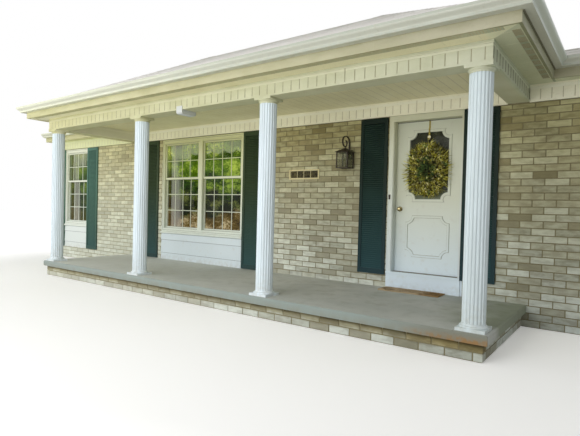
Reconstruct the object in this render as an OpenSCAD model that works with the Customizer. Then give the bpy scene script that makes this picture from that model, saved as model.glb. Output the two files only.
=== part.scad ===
// Front porch: a raised slab with four fluted columns, wrapped beams, a hipped roof
// with gutters, and the length of brick house wall that the porch stands against.
// X runs along the wall, -Y points out from the wall, Z is up.
// X = 0 is the middle of the porch, Y = 0 the brick face, Z = 0 the ground.

/* [Porch] */

// Distance between neighbouring columns
bay_w = 2420; // [2300:10:2480]
// Distance from the brick face to the column line
porch_d = 1626; // [1500:1:1800]
// Height of the porch floor above the ground
floor_h = 253; // [200:1:320]
// Thickness of the floor slab
slab_t = 90; // [75:1:120]
// How far the slab reaches past the column line
slab_lip = 158; // [140:1:190]
// How far the brick base stands back under the slab's edge
base_inset = 50; // [20:5:70]

/* [Columns] */

// Diameter of the column shafts
shaft_d = 206; // [180:1:215]
// Number of flutes around a shaft
flute_count = 20; // [12:1:24]
// Radius of the cutter that hollows one flute
flute_r = 12; // [8:1:13]
// Depth of a flute
flute_depth = 8; // [4:1:10]
// Side of the square plate at a column's foot
foot_plate = 255; // [240:1:280]
// Side of the square plate at a column's head
head_plate = 244; // [230:1:250]
// Thickness of the square plates
plate_t = 28; // [20:1:35]
// Height of the round moulding between plate and shaft
moulding_h = 38; // [30:1:50]

/* [Beams and roof] */

// Width of the wrapped beams
beam_w = 226; // [200:2:240]
// Height of the wrapped beams
beam_h = 189; // [160:1:230]
// How far the trims stand proud of the beams
trim_out = 9; // [4:1:12]
// Soffit depth from beam to the face of the fascia
eave_out = 270; // [220:5:320]
// Soffit depth of the house's own eave
house_eave = 200; // [180:5:260]
// Thickness of the fascia boards
fascia_t = 25; // [18:1:30]
// Height from the soffit to the foot of the roof
eave_h = 160; // [150:1:180]
// Rise of the roof for each unit of run
roof_pitch = 0.5; // [0.4:0.05:0.55]
// Thickness of the roof measured upright
roof_t = 110; // [90:5:130]
// Height of a gutter
gutter_h = 90; // [80:1:100]
// Reach of a gutter at its top
gutter_out = 127; // [115:1:140]
// Thickness of the gutter's sheet
gutter_t = 3; // [2:0.5:4]

/* [House wall] */

// Thickness of the house wall
wall_t = 240; // [220:5:260]
// End of the wall left of the middle
wall_left = 6980; // [6900:10:7300]
// End of the wall right of the middle
wall_right = 4750; // [4650:10:5200]
// Left edge of the single window
win1_x = -6390; // [-6420:5:-6380]
// Width of the single window
win1_w = 980; // [960:5:990]
// Left edge of the double window
win2_x = -2755; // [-2765:5:-2745]
// Width of the double window
win2_w = 2130; // [2100:5:2140]
// Height of the window sills above the porch floor
sill_up = 502; // [450:1:540]
// Height of the windows' meeting rails above the porch floor
meet_up = 1566; // [1480:1:1640]
// Exposed height of one siding board
siding_h = 253; // [150:1:260]
// Exposed height of the lowest siding board
siding_first = 125; // [60:1:250]

/* [Shutters] */

// Width of a shutter
shutter_w = 410; // [380:5:415]
// Thickness of a shutter
shutter_t = 32; // [25:1:40]
// Distance from one louvre to the next
louvre_pitch = 28.5; // [26:0.5:45]
// How far the door's right shutter takes the place of its casing
shutter_over = 40; // [0:5:45]

/* [Front door] */

// Left edge of the door opening in the brick
door_x = 2048; // [2045:1:2055]
// Width of the door leaf
leaf_w = 914; // [900:1:920]
// Height of the door leaf
leaf_h = 2032; // [2000:1:2040]
// Thickness of the door leaf
leaf_t = 44; // [35:1:50]
// Height of the door's sill above the porch floor
step_up = 222; // [180:1:235]
// Depth of the door leaf's face behind the brick face
leaf_y = 100; // [90:1:110]
// Thickness of the door's head
head_t = 53; // [45:1:60]
// Gap around the door leaf
gap = 5; // [5:0.5:6]
// Thickness of the door's jambs
jamb_t = 43; // [35:1:48]
// Radius of a hinge knuckle
knuckle_r = 7; // [6:0.5:8]
// Height of the knob above the foot of the door leaf
knob_up = 848; // [820:2:900]
// Height of the bell button above the foot of the door leaf
bell_up = 1008; // [940:2:1100]
// Height of the lower panel's moulding above the foot of the door leaf
panel_up = 210; // [190:2:240]
// Height of the lower panel, over its moulding
panel_h = 552; // [530:2:570]
// Radius of the notched corners of the door's glass
notch_r = 92; // [80:1:100]
// Width of the doormat
mat_w = 800; // [600:10:900]
// Depth of the doormat
mat_d = 270; // [250:10:500]

/* [Lantern and plaque] */

// Middle of the lantern along the wall
lantern_x = 1425; // [1400:5:1430]
// Height of the lantern's cage above the porch floor
lantern_up = 1633; // [1600:1:1700]
// Distance from the brick face to the lantern's middle
lantern_y = 145; // [140:1:170]
// Side of the lantern's cage
cage_w = 186; // [160:2:200]
// Height of the lantern's cage
cage_h = 226; // [200:2:250]
// Middle of the plaque along the wall
plaque_x = 632; // [600:1:660]
// Height of the plaque's middle above the porch floor
plaque_up = 1575; // [1500:1:1650]

/* [Beam lamp] */

// Middle of the lamp along the front beam
light_x = -235; // [-300:5:-150]
// Width of the lamp along the beam
light_w = 112; // [90:2:140]
// Height of the lamp under the beam
light_h = 56; // [45:1:80]

/* [Output] */

// Which node to draw

/* [Hidden] */

sill_top = floor_h + step_up;
leaf_z = sill_top + gap;
leaf_top = leaf_z + leaf_h;
leaf_back = leaf_y + leaf_t;
head_z = leaf_top + gap + head_t;
frieze_t = 20;
frieze_z = head_z + 13;
beam_z = frieze_z + 8;
ceiling_z = beam_z + beam_h;
roof_z = ceiling_z + eave_h;
roof_edge = 30;
soffit_t = 12;
fascia_z = ceiling_z - 5;
gutter_z = roof_z + 23 - gutter_h;

col_x = [for (i = [-1.5 : 1 : 1.5]) i * bay_w];
beam_x = 1.5 * bay_w + beam_w / 2;
beam_in_x = beam_x - beam_w;
beam_y = porch_d + beam_w / 2;
beam_in_y = porch_d - beam_w / 2;
eave_x = beam_x + eave_out;
eave_y = beam_y + eave_out;
soffit_x = eave_x - fascia_t;
soffit_y = eave_y - fascia_t;
house_soffit_y = house_eave - fascia_t;
roof_run = eave_y + wall_t;
house_run = house_eave + wall_t;

shaft_r = shaft_d / 2;
shaft_z0 = floor_h + plate_t + moulding_h;
shaft_z1 = beam_z - plate_t - moulding_h;

win1 = [win1_x, win1_x + win1_w];
win2 = [win2_x, win2_x + win2_w];
sill_z = floor_h + sill_up;
sill_h = 45;
light_z = sill_z + 95;
meet_z = floor_h + meet_up;
frame_in = 50;
head_in = 70;
mullion_w = 90;
sash_w = 45;
sash_t = 30;

door_w = leaf_w + 2 * (gap + jamb_t);
door_o = [door_x, door_x + door_w];
leaf_x = [door_x + jamb_t + gap, door_x + jamb_t + gap + leaf_w];
leaf_mid = (leaf_x[0] + leaf_x[1]) / 2;
casing_out = 12;
casing_x = [door_o[0] - casing_out, door_o[1] + casing_out - shutter_over];
stop_w = 12;
hinge_x = leaf_x[1] + gap / 2;
hinge_y = leaf_back + knuckle_r + 1;
hinge_len = 100;
hinge_zs = [leaf_z + 180, leaf_z + leaf_h / 2 - hinge_len / 2, leaf_top - 280];
glass_w = 524;
glass_top = leaf_top - 162;
glass_z = [glass_top - 0.4365 * leaf_h, glass_top];
panel_z = [leaf_z + panel_up, leaf_z + panel_up + panel_h];
panel_w = 586;
hook_z = glass_top - 100;

shutter_z = [floor_h + 6, head_z];
shutter_xs = [
    [win1[0] - shutter_w, shutter_z[0], shutter_z[1]],
    [win1[1], shutter_z[0], shutter_z[1]],
    [win2[0] - 100 - shutter_w, shutter_z[0], shutter_z[1]],
    [win2[1] + 12, shutter_z[0], shutter_z[1]],
    [door_o[0] - 30 - shutter_w, floor_h + 170, head_z],
    [casing_x[1], sill_top - 23, head_z]
];
stile_w = 45;
rail_h = 70;
plaque_w = 560;
plaque_h = 150;
plaque_z = floor_h + plaque_up;
lantern_z = floor_h + lantern_up;
cage_post = 14;
cage_foot = 12;
cage_top = 8;
bar_w = 22;
bar_t = 9;

// Block between two limits on each axis
module block(x, y, z) {
    translate([x[0], y[0], z[0]])
        cube([x[1] - x[0], y[1] - y[0], z[1] - z[0]]);
}

// Shape drawn in the plane of the wall, given a thickness from y0 outwards
module on_wall(y0, t) {
    translate([0, y0, 0])
        rotate([90, 0, 0])
            linear_extrude(t)
                children();
}

// Shape drawn as (Y, Z), drawn out along X from x0 to x1
module along_x(x0, x1) {
    translate([x0, 0, 0])
        rotate([90, 0, 90])
            linear_extrude(x1 - x0)
                children();
}

// The same thing again on the other side of the porch
module both_sides() {
    children();
    mirror([1, 0, 0])
        children();
}

// Rectangle between limits, for the flat shapes
module rect(x, z) {
    translate([x[0], z[0]])
        square([x[1] - x[0], z[1] - z[0]]);
}

module brick_base() {
    x1 = col_x[3] + slab_lip - base_inset;
    y1 = porch_d + slab_lip - base_inset;
    color("tan")
        block([-x1, x1], [-y1, 0], [0, floor_h - slab_t]);
}

// Slab with its top edge eased on the three open sides
module porch_slab() {
    x1 = col_x[3] + slab_lip;
    y1 = porch_d + slab_lip;
    ease = 12;
    z0 = floor_h - slab_t;
    color("silver") {
        intersection() {
            along_x(-x1, x1)
                polygon([[-y1, z0], [0, z0], [0, floor_h], [ease - y1, floor_h],
                         [-y1, floor_h - ease]]);
            on_wall(0, y1)
                polygon([[-x1, z0], [x1, z0], [x1, floor_h - ease], [x1 - ease, floor_h],
                         [ease - x1, floor_h], [-x1, floor_h - ease]]);
        }
    }
}

// Cross-section of a shaft with its ring of flutes
module fluted_section() {
    difference() {
        circle(r = shaft_r, $fn = 80);
        for (i = [0 : flute_count - 1])
            rotate(i * 360 / flute_count)
                translate([shaft_r + flute_r - flute_depth, 0])
                    circle(r = flute_r, $fn = 20);
    }
}

module column_shafts() {
    color("white")
        for (x = col_x)
            translate([x, -porch_d, shaft_z0])
                linear_extrude(shaft_z1 - shaft_z0)
                    fluted_section();
}

// Square plate with the round moulding that grows out of the shaft, foot side down
module plate_and_moulding(side) {
    translate([-side / 2, -side / 2, 0])
        cube([side, side, plate_t]);
    translate([0, 0, plate_t])
        rotate_extrude($fn = 48)
            polygon([[0, 0], [side / 2 - 4, 0], [side / 2 - 2, 6], [side / 2 - 4, 13],
                     [side / 2 - 9, 17], [shaft_r + 6, 20], [shaft_r + 3, 27],
                     [shaft_r + 2, moulding_h], [0, moulding_h]]);
}

module column_feet() {
    color("white")
        for (x = col_x)
            translate([x, -porch_d, floor_h])
                plate_and_moulding(foot_plate);
}

module column_heads() {
    color("white")
        for (x = col_x)
            translate([x, -porch_d, beam_z])
                mirror([0, 0, 1])
                    plate_and_moulding(head_plate);
}

// Front beam: core, then the trims that stand proud at its top and foot
module front_beam() {
    top = ceiling_z;
    out = trim_out;
    color("ivory") {
        block([-beam_x, beam_x], [-beam_y, -beam_in_y], [beam_z, top + soffit_t]);
        block([-beam_x - out, beam_x + out], [-beam_y - out, -beam_in_y], [beam_z, beam_z + 20]);
        block([-beam_x - out, beam_x + out], [-beam_y - out, -beam_in_y], [top - 30, top]);
    }
}

module side_beams() {
    top = ceiling_z;
    out = trim_out;
    color("ivory")
        both_sides() {
            block([beam_in_x, beam_x], [-beam_in_y, 0], [beam_z, top + soffit_t]);
            block([beam_in_x, beam_x + out], [-beam_in_y, 0], [beam_z, beam_z + 20]);
            block([beam_in_x, beam_x + out], [-beam_in_y, 0], [top - 30, top]);
        }
}

module porch_ceiling() {
    color("ivory")
        block([-beam_in_x, beam_in_x], [-beam_in_y, 0], [ceiling_z, ceiling_z + soffit_t]);
}

// Soffits along the front, mitred at the porch's corners, and under the house's eave
module front_soffits() {
    color("ivory")
        translate([0, 0, ceiling_z]) {
            linear_extrude(soffit_t)
                polygon([[-soffit_x, -soffit_y], [soffit_x, -soffit_y],
                         [beam_x, -beam_y], [-beam_x, -beam_y]]);
            block([soffit_x, wall_right], [-house_soffit_y, 0], [0, soffit_t]);
            block([-wall_left, -soffit_x], [-house_soffit_y, 0], [0, soffit_t]);
        }
}

module side_soffits() {
    color("ivory")
        both_sides()
            translate([0, 0, ceiling_z])
                linear_extrude(soffit_t)
                    polygon([[beam_x, -beam_y], [soffit_x, -soffit_y], [soffit_x, 0], [beam_x, 0]]);
}

module front_fascias() {
    z = [fascia_z, roof_z];
    color("ivory") {
        block([-eave_x, eave_x], [-eave_y, -soffit_y], z);
        block([eave_x, wall_right], [-house_eave, -house_soffit_y], z);
        block([-wall_left, -eave_x], [-house_eave, -house_soffit_y], z);
    }
}

module side_fascias() {
    color("ivory")
        both_sides()
            block([soffit_x, eave_x], [-soffit_y, -house_soffit_y], [fascia_z, roof_z]);
}

// Outline of the gutter's face, from the bottom edge up through the ogee to the lip
function ogee(n) = [
    for (i = [0 : n])
        let (s = i / n)
            [gutter_out - 44 + 42 * (1 - cos(180 * s)) / 2, 20 + (gutter_h - 45) * s]
];

// Cross-section of a gutter as (reach, height), open at the top
module gutter_section() {
    face = ogee(8);
    inner = [for (i = [8 : -1 : 0]) [face[i][0] - gutter_t, face[i][1]]];
    polygon(concat(
        [[0, gutter_h], [0, 0], [gutter_out - 46, 0]],
        face,
        [[gutter_out, gutter_h - 22], [gutter_out, gutter_h], [gutter_out - 14, gutter_h],
         [gutter_out - 14, gutter_h - gutter_t], [gutter_out - gutter_t, gutter_h - gutter_t],
         [gutter_out - gutter_t, gutter_h - 22]],
        inner,
        [[gutter_out - 46 - gutter_t, gutter_t], [gutter_t, gutter_t], [gutter_t, gutter_h]]
    ));
}

// Gutter from x = 0 to x = len, reaching towards -Y. A mitre of 1 turns an outside corner,
// -1 an inside corner, and 0 leaves a square end closed by a cap.
module gutter_run(len, mitre0, mitre1) {
    g = gutter_out + 5;
    intersection() {
        along_x(-g, len + g)
            mirror([1, 0])
                gutter_section();
        linear_extrude(gutter_h + 1)
            polygon([[0, 0], [-g * mitre0, -g], [len + g * mitre1, -g], [len, 0]]);
    }
    if (mitre1 == 0)
        along_x(len - gutter_t, len)
            polygon(concat([[0, gutter_h], [0, 0], [46 - gutter_out, 0]],
                           [for (p = ogee(8)) [-p[0], p[1]]],
                           [[-gutter_out, gutter_h - 22], [-gutter_out, gutter_h]]));
}

module front_gutters() {
    color("ivory") {
        translate([-eave_x, -eave_y, gutter_z])
            gutter_run(2 * eave_x, 1, 1);
        translate([eave_x, -house_eave, gutter_z])
            gutter_run(wall_right - eave_x, -1, 0);
        mirror([1, 0, 0])
            translate([eave_x, -house_eave, gutter_z])
                gutter_run(wall_left - eave_x, -1, 0);
    }
}

module side_gutters() {
    color("ivory")
        both_sides()
            translate([eave_x, -eave_y, gutter_z])
                rotate([0, 0, 90])
                    gutter_run(eave_y - house_eave, 1, -1);
}

// Upright section through a roof slope, from its eave inwards over a given run
module slope_section(run) {
    top = roof_edge + roof_pitch * run;
    polygon([[0, 0], [0, roof_edge], [run, top], [run, top - roof_t],
             [(roof_t - roof_edge) / roof_pitch, 0]]);
}

// Section of the hollow under that slope
module void_section(run) {
    top = roof_edge + roof_pitch * run - roof_t;
    polygon([[(roof_t - roof_edge) / roof_pitch, 0], [run, top], [run, 0]]);
}

module front_roof() {
    color("gainsboro")
        intersection() {
            translate([0, -eave_y, roof_z])
                along_x(-eave_x, eave_x)
                    slope_section(roof_run);
            linear_extrude(2 * roof_z)
                polygon([[-eave_x, -eave_y], [eave_x, -eave_y],
                         [eave_x - roof_run, wall_t], [roof_run - eave_x, wall_t]]);
        }
}

module side_roofs() {
    color("gainsboro")
        both_sides()
            intersection() {
                translate([eave_x, wall_t, roof_z])
                    rotate([0, 0, 90])
                        along_x(-roof_run, 0)
                            slope_section(roof_run);
                linear_extrude(2 * roof_z)
                    polygon([[eave_x, -eave_y], [eave_x, -house_eave],
                             [eave_x - house_run, wall_t], [eave_x - roof_run, wall_t]]);
            }
}

// House roof beside the porch, cut along the valley, out to a distance x1
module house_roof(x1) {
    intersection() {
        translate([0, -house_eave, roof_z])
            along_x(eave_x - house_run, x1)
                slope_section(house_run);
        linear_extrude(2 * roof_z)
            polygon([[eave_x, -house_eave], [x1, -house_eave], [x1, wall_t],
                     [eave_x - house_run, wall_t]]);
    }
}

module house_roofs() {
    color("gainsboro") {
        house_roof(wall_right);
        mirror([1, 0, 0])
            house_roof(wall_left);
    }
}

// The hollow under the porch's hipped roof
module porch_void() {
    intersection() {
        translate([0, -eave_y, roof_z])
            along_x(-eave_x, eave_x)
                void_section(roof_run);
        translate([0, 0, roof_z])
            on_wall(wall_t, roof_run) {
                translate([eave_x, 0])
                    mirror([1, 0])
                        void_section(roof_run);
                translate([-eave_x, 0])
                    void_section(roof_run);
                rect([roof_run - eave_x, eave_x - roof_run],
                     [0, roof_edge + roof_pitch * roof_run - roof_t]);
            }
    }
}

// The hollow under the house's eave, from one wall end to the other
module house_void() {
    translate([0, -house_eave, roof_z])
        along_x(-wall_left, wall_right)
            void_section(house_run);
}

// Boarding that closes the roof at the cut behind the wall
module roof_back() {
    color("burlywood")
        intersection() {
            union() {
                porch_void();
                house_void();
            }
            block([-wall_left, wall_right], [wall_t - 25, wall_t], [roof_z, 2 * roof_z]);
        }
}

module eave_ends() {
    color("ivory")
        for (x = [[-wall_left, 25 - wall_left], [wall_right - 25, wall_right]]) {
            block(x, [-house_soffit_y, 0], [ceiling_z + soffit_t, roof_z]);
            intersection() {
                house_void();
                block(x, [-house_soffit_y, wall_t - 25], [roof_z, 2 * roof_z]);
            }
        }
}

module wall_plinth() {
    color("tan")
        block([-wall_left, wall_right], [0, wall_t], [0, floor_h]);
}

// Brick piers between the openings
module brick_walls() {
    color("tan")
        for (x = [[-wall_left, win1[0]], [win1[1], win2[0]], [win2[1], door_o[0]],
                  [door_o[1], wall_right]])
            block(x, [0, wall_t], [floor_h, head_z]);
}

module wall_head() {
    color("tan")
        block([-wall_left, wall_right], [0, wall_t], [head_z, roof_z]);
}

module wall_friezes() {
    color("ivory")
        for (x = [[-wall_left, -beam_x - trim_out], [-beam_in_x, beam_in_x],
                  [beam_x + trim_out, wall_right]]) {
            block(x, [-frieze_t, 0], [frieze_z, ceiling_z]);
            block(x, [-frieze_t - 6, 0], [frieze_z, frieze_z + 20]);
            block(x, [-frieze_t - 6, 0], [ceiling_z - 25, ceiling_z]);
        }
}

module under_window_walls() {
    color("tan")
        for (x = [win1, win2])
            block(x, [20, wall_t], [floor_h, sill_z]);
}

// Lapped boards between floor and sill, each leaning out towards its lower edge
module siding_panels() {
    joints = [for (z = floor_h + siding_first; z < sill_z - 30; z = z + siding_h) z];
    edges = concat([floor_h], joints, [sill_z]);
    lap = [for (i = [len(edges) - 1 : -1 : 1]) each [[-2, edges[i]], [-13, edges[i - 1]]]];
    color("white")
        for (x = [win1, win2])
            along_x(x[0], x[1])
                polygon(concat([[20, sill_z]], lap, [[20, floor_h]]));
}

// Outline of a frame around one light, as a flat ring
module ring(x, z, w) {
    difference() {
        rect(x, z);
        rect([x[0] + w, x[1] - w], [z[0] + w, z[1] - w]);
    }
}

// Lights of a window as limits along X, one for each pair of sashes
function lights(x, n) = [
    for (i = [0 : n - 1])
        let (w = (x[1] - x[0] - 2 * frame_in - (n - 1) * mullion_w) / n)
            [x[0] + frame_in + i * (w + mullion_w), x[0] + frame_in + i * (w + mullion_w) + w]
];
all_lights = concat(lights(win1, 1), lights(win2, 2));
upper_z = [meet_z - sash_w / 2, head_z - head_in];
lower_z = [light_z, meet_z + sash_w / 2];

// Window frame with its mullions and a sill that slopes to the outside
module window_frame(x, n) {
    on_wall(120, 120)
        difference() {
            rect(x, [sill_z + sill_h, head_z]);
            for (l = lights(x, n))
                rect(l, [light_z, head_z - head_in]);
        }
    along_x(x[0], x[1])
        polygon([[120, sill_z], [120, sill_z + sill_h], [0, sill_z + sill_h],
                 [-30, sill_z + sill_h - 10], [-30, sill_z + 10], [-20, sill_z]]);
}

module window_frames() {
    color("white") {
        window_frame(win1, 1);
        window_frame(win2, 2);
    }
}

// Upper sashes stand in the outer track, lower sashes in the inner one
module window_sashes() {
    color("white")
        for (l = all_lights) {
            on_wall(25 + sash_t, sash_t)
                ring(l, upper_z, sash_w);
            on_wall(27 + 2 * sash_t, sash_t)
                ring(l, lower_z, sash_w);
        }
}

module window_glass() {
    color("lightblue", 0.5)
        for (l = all_lights) {
            x = [l[0] + sash_w, l[1] - sash_w];
            on_wall(25 + sash_t / 2 + 3, 6)
                rect(x, [upper_z[0] + sash_w, upper_z[1] - sash_w]);
            on_wall(27 + 1.5 * sash_t + 3, 6)
                rect(x, [lower_z[0] + sash_w, lower_z[1] - sash_w]);
        }
}

// Limits of the louvred field of shutter s
function field(s) = [s[1] + rail_h, s[2] - rail_h];

module shutter_frames() {
    color("darkslategray")
        for (s = shutter_xs)
            on_wall(0, shutter_t)
                difference() {
                    rect([s[0], s[0] + shutter_w], [s[1], s[2]]);
                    rect([s[0] + stile_w, s[0] + shutter_w - stile_w], field(s));
                }
}

// Louvres as a saw-toothed panel, each blade sloping down and out
module shutter_louvres() {
    tip = 4 - shutter_t;
    color("darkslategray")
        for (s = shutter_xs) {
            f = field(s);
            n = round((f[1] - f[0]) / louvre_pitch);
            p = (f[1] - f[0]) / n;
            blades = [for (i = [0 : n - 1])
                let (z = f[0] + i * p)
                    each [[tip, z + 2], [tip, z + 7], [-8, z + p]]];
            along_x(s[0] + stile_w, s[0] + shutter_w - stile_w)
                polygon(concat([[-2, f[0]]], blades, [[-2, f[1]]]));
        }
}

// Left side of the door frame, with the casing from edge in front and the jamb behind it
module door_jamb(edge) {
    z = [sill_top, head_z];
    block([edge, leaf_x[0] + stop_w - 8], [-14, 0], z);
    block([door_o[0], leaf_x[0] + stop_w], [0, leaf_y - gap], z);
    block([door_o[0], leaf_x[0] - gap], [leaf_y - gap, leaf_back], z);
}

module door_jambs() {
    color("white") {
        door_jamb(casing_x[0]);
        translate([2 * leaf_mid, 0, 0])
            mirror([1, 0, 0])
                door_jamb(2 * leaf_mid - casing_x[1]);
    }
}

module door_head() {
    under = leaf_top + gap;
    x = [leaf_x[0] - gap, leaf_x[1] + gap];
    color("white") {
        block(casing_x, [-14, 0], [head_z, head_z + 10]);
        block([x[0] + gap + stop_w - 8, x[1] - gap - stop_w + 8], [-14, 0],
              [under - stop_w, head_z]);
        block([x[0] + gap + stop_w, x[1] - gap - stop_w], [0, leaf_y - gap],
              [under - gap - stop_w + 5, head_z]);
        block(x, [leaf_y - gap, leaf_back], [under, head_z]);
    }
}

// Sill through the wall with a nosing, and the riser board below it
module door_sill() {
    color("white") {
        block(door_o, [0, wall_t], [floor_h, sill_top]);
        block(casing_x, [-26, 0], [sill_top - 26, sill_top]);
        block(casing_x, [-14, 0], [floor_h, sill_top - 26]);
    }
}

// Knuckle of a hinge over part of its length
module knuckle(z, len) {
    translate([hinge_x, hinge_y, z])
        cylinder(h = len, r = knuckle_r, $fn = 32);
}

// Plate of a hinge, side 1 on the jamb or -1 on the leaf, with the tabs that carry it
module hinge_plate(z, side, tabs) {
    y = [leaf_back, leaf_back + 3.5];
    x = [hinge_x + side * 9, hinge_x + side * 36];
    block([min(x), max(x)], y, [z, z + hinge_len]);
    for (t = tabs)
        block([min(hinge_x, hinge_x + side * 10), max(hinge_x, hinge_x + side * 10)], y,
              [z + t[0], z + t[1]]);
}

module jamb_hinges() {
    third = hinge_len / 3;
    color("goldenrod")
        for (z = hinge_zs) {
            knuckle(z, third - 1);
            knuckle(z + 2 * third + 1, third - 1);
            hinge_plate(z, 1, [[0, third - 1], [2 * third + 1, hinge_len]]);
        }
}

module leaf_hinges() {
    third = hinge_len / 3;
    color("goldenrod")
        for (z = hinge_zs) {
            knuckle(z + third, third);
            hinge_plate(z, -1, [[third, 2 * third]]);
        }
}

// Rectangle with scooped corners, grown outwards by g
module scooped(w, z, g) {
    x = [leaf_mid - w / 2, leaf_mid + w / 2];
    difference() {
        rect([x[0] - g, x[1] + g], [z[0] - g, z[1] + g]);
        for (i = x, k = z)
            translate([i, k])
                circle(r = notch_r - g, $fn = 48);
    }
}

module door_leaf() {
    color("white")
        on_wall(leaf_back, leaf_t)
            difference() {
                rect(leaf_x, [leaf_z, leaf_top]);
                scooped(glass_w, glass_z, 0);
            }
}

module door_glass() {
    color("dimgray", 0.6)
        on_wall(leaf_y + 26, 8)
            scooped(glass_w, glass_z, 0);
}

module door_mouldings() {
    color("white")
        on_wall(leaf_y, 9) {
            difference() {
                scooped(glass_w, glass_z, 32);
                scooped(glass_w, glass_z, 0);
            }
            difference() {
                scooped(panel_w, panel_z, 0);
                scooped(panel_w, panel_z, -26);
            }
        }
}

// Rose and knob, standing out from a face of the leaf
module knob() {
    rotate([90, 0, 0])
        rotate_extrude($fn = 40)
            polygon([[0, 0], [33, 0], [33, 4], [28, 8], [12, 10], [10, 24], [16, 30],
                     [25, 36], [28, 45], [25, 54], [16, 60], [0, 62]]);
}

module door_knob() {
    color("gold")
        translate([leaf_x[0] + 76, 0, leaf_z + knob_up]) {
            translate([0, leaf_y, 0])
                knob();
            translate([0, leaf_back, 0])
                mirror([0, 1, 0])
                    knob();
        }
}

module doorbell() {
    color("dimgray")
        translate([door_o[0] + 14, -14, leaf_z + bell_up]) {
            block([-12, 12], [-8, 0], [-32, 32]);
            rotate([90, 0, 0])
                cylinder(h = 12, r = 7, $fn = 24);
        }
}

// Points of an oval with half width a and half height b
function oval(a, b) = [for (i = [0 : 31]) [a * cos(i * 11.25), b * sin(i * 11.25)]];

// Soft wreath: a thick oval pad, domed to the front, its top in the strap's hook
module wreath() {
    half = 386;
    color("darkkhaki")
        translate([leaf_mid - 8, leaf_y - 15, hook_z - 2.3 - half])
            rotate([90, 0, 0]) {
                linear_extrude(35)
                    polygon(oval(280, half));
                translate([0, 0, 35])
                    linear_extrude(50, scale = 0.72)
                        polygon(oval(280, half));
            }
}

// Brass strap that hooks over the leaf's top, clears the moulding and ends in a hook
module wreath_hanger() {
    x = [leaf_mid - 11, leaf_mid + 11];
    step_z = glass_top + 50;
    color("gold") {
        block(x, [leaf_back, leaf_back + 2], [leaf_top - 28, leaf_top + 2]);
        block(x, [leaf_y - 2, leaf_back], [leaf_top, leaf_top + 2]);
        block(x, [leaf_y - 2, leaf_y], [step_z, leaf_top]);
        block(x, [leaf_y - 13, leaf_y], [step_z - 2, step_z]);
        block(x, [leaf_y - 13, leaf_y - 11], [hook_z, step_z]);
        block(x, [leaf_y - 40, leaf_y - 11], [hook_z - 2, hook_z]);
        block(x, [leaf_y - 40, leaf_y - 38], [hook_z - 2, hook_z + 22]);
    }
}

// Tapered square tier of the lantern's cap
module tier(a, b, h) {
    linear_extrude(h, scale = b / a)
        square(a, center = true);
}

module lantern_cage() {
    c = cage_w / 2;
    cap = cage_w + 40;
    color("darkolivegreen")
        translate([lantern_x, -lantern_y, lantern_z]) {
            block([-c, c], [-c, c], [0, cage_foot]);
            block([-c, c], [-c, c], [cage_h - cage_top, cage_h]);
            for (x = [-c, c - cage_post], y = [-c, c - cage_post])
                block([x, x + cage_post], [y, y + cage_post], [cage_foot, cage_h - cage_top]);
            translate([0, 0, cage_h])
                tier(cap, cap - 26, 8);
            translate([0, 0, cage_h + 8])
                tier(cap - 26, cap - 120, 26);
            translate([0, 0, cage_h + 34])
                tier(cap - 120, 30, 22);
            translate([0, 0, cage_h + 56])
                cylinder(h = 20, r = 9, $fn = 24);
        }
}

module lantern_glass() {
    c = cage_w / 2;
    color("lightgray", 0.4)
        translate([lantern_x, -lantern_y, lantern_z]) {
            for (y = [4 - c, c - 7])
                block([cage_post - c, c - cage_post], [y, y + 3], [cage_foot, cage_h - cage_top]);
            for (x = [4 - c, c - 7])
                block([x, x + 3], [cage_post - c, c - cage_post], [cage_foot, cage_h - cage_top]);
        }
}

// Scroll of flat bar: from the wall plate up, over, and round into a spiral
module lantern_bracket() {
    zc = lantern_z + cage_h + 76 + 76;
    turn = 430;
    n = 43;
    radius = function (a)
        a < 90 ? 122 - 42 * a / 90 :
        a < 250 ? 80 : 80 - 62 * pow((a - 250) / 180, 1.2);
    spiral = [for (i = [0 : n]) let (a = turn * i / n) [radius(a) * cos(a), radius(a) * sin(a)]];
    inner = [for (p = spiral) let (r = norm(p)) p * (r - bar_t) / r];
    path = concat([[122, -130]], spiral, [for (i = [n : -1 : 0]) inner[i]], [[122 - bar_t, -130]]);
    color("darkolivegreen") {
        translate([0, -lantern_y, zc])
            along_x(lantern_x - bar_w / 2, lantern_x + bar_w / 2)
                polygon(path);
        block([lantern_x - bar_w / 2, lantern_x + bar_w / 2], [-lantern_y + 122 - bar_t, -10],
              [zc - 150, zc - 130]);
        block([lantern_x - 42, lantern_x + 42], [-10, 0], [zc - 240, zc - 108]);
    }
}

module plaque_frame() {
    x = [plaque_x - plaque_w / 2, plaque_x + plaque_w / 2];
    z = [plaque_z - plaque_h / 2, plaque_z + plaque_h / 2];
    color("khaki") {
        on_wall(0, 6)
            rect(x, z);
        on_wall(-6, 10)
            ring(x, z, 18);
    }
}

module plaque_tiles() {
    w = (plaque_w - 60) / 4;
    color("black")
        for (i = [0 : 3])
            on_wall(-6, 6)
                rect([plaque_x - 2 * w + i * w + 3, plaque_x - 2 * w + (i + 1) * w - 3],
                     [plaque_z - 52, plaque_z + 52]);
}

// Small white lamp across the front beam's underside, with a lip up the beam's face
module beam_light() {
    x = [light_x - light_w / 2, light_x + light_w / 2];
    lip = 8;
    lip_up = 48;
    corner = 16;
    foot = beam_z - light_h;
    y = [-beam_y - trim_out - lip, -beam_in_y + trim_out];
    color("whitesmoke") {
        along_x(x[0], x[1])
            polygon([[y[0], beam_z], [y[0], foot + corner], [y[0] + corner, foot],
                     [y[1] - corner, foot], [y[1], foot + corner], [y[1], beam_z]]);
        block(x, [y[0], y[0] + lip], [beam_z - lip, beam_z + lip_up]);
    }
}

module doormat() {
    color("sienna")
        block([door_o[0] + 12, door_o[0] + 12 + mat_w], [-30 - mat_d, -30], [floor_h, floor_h + 14]);
}

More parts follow.
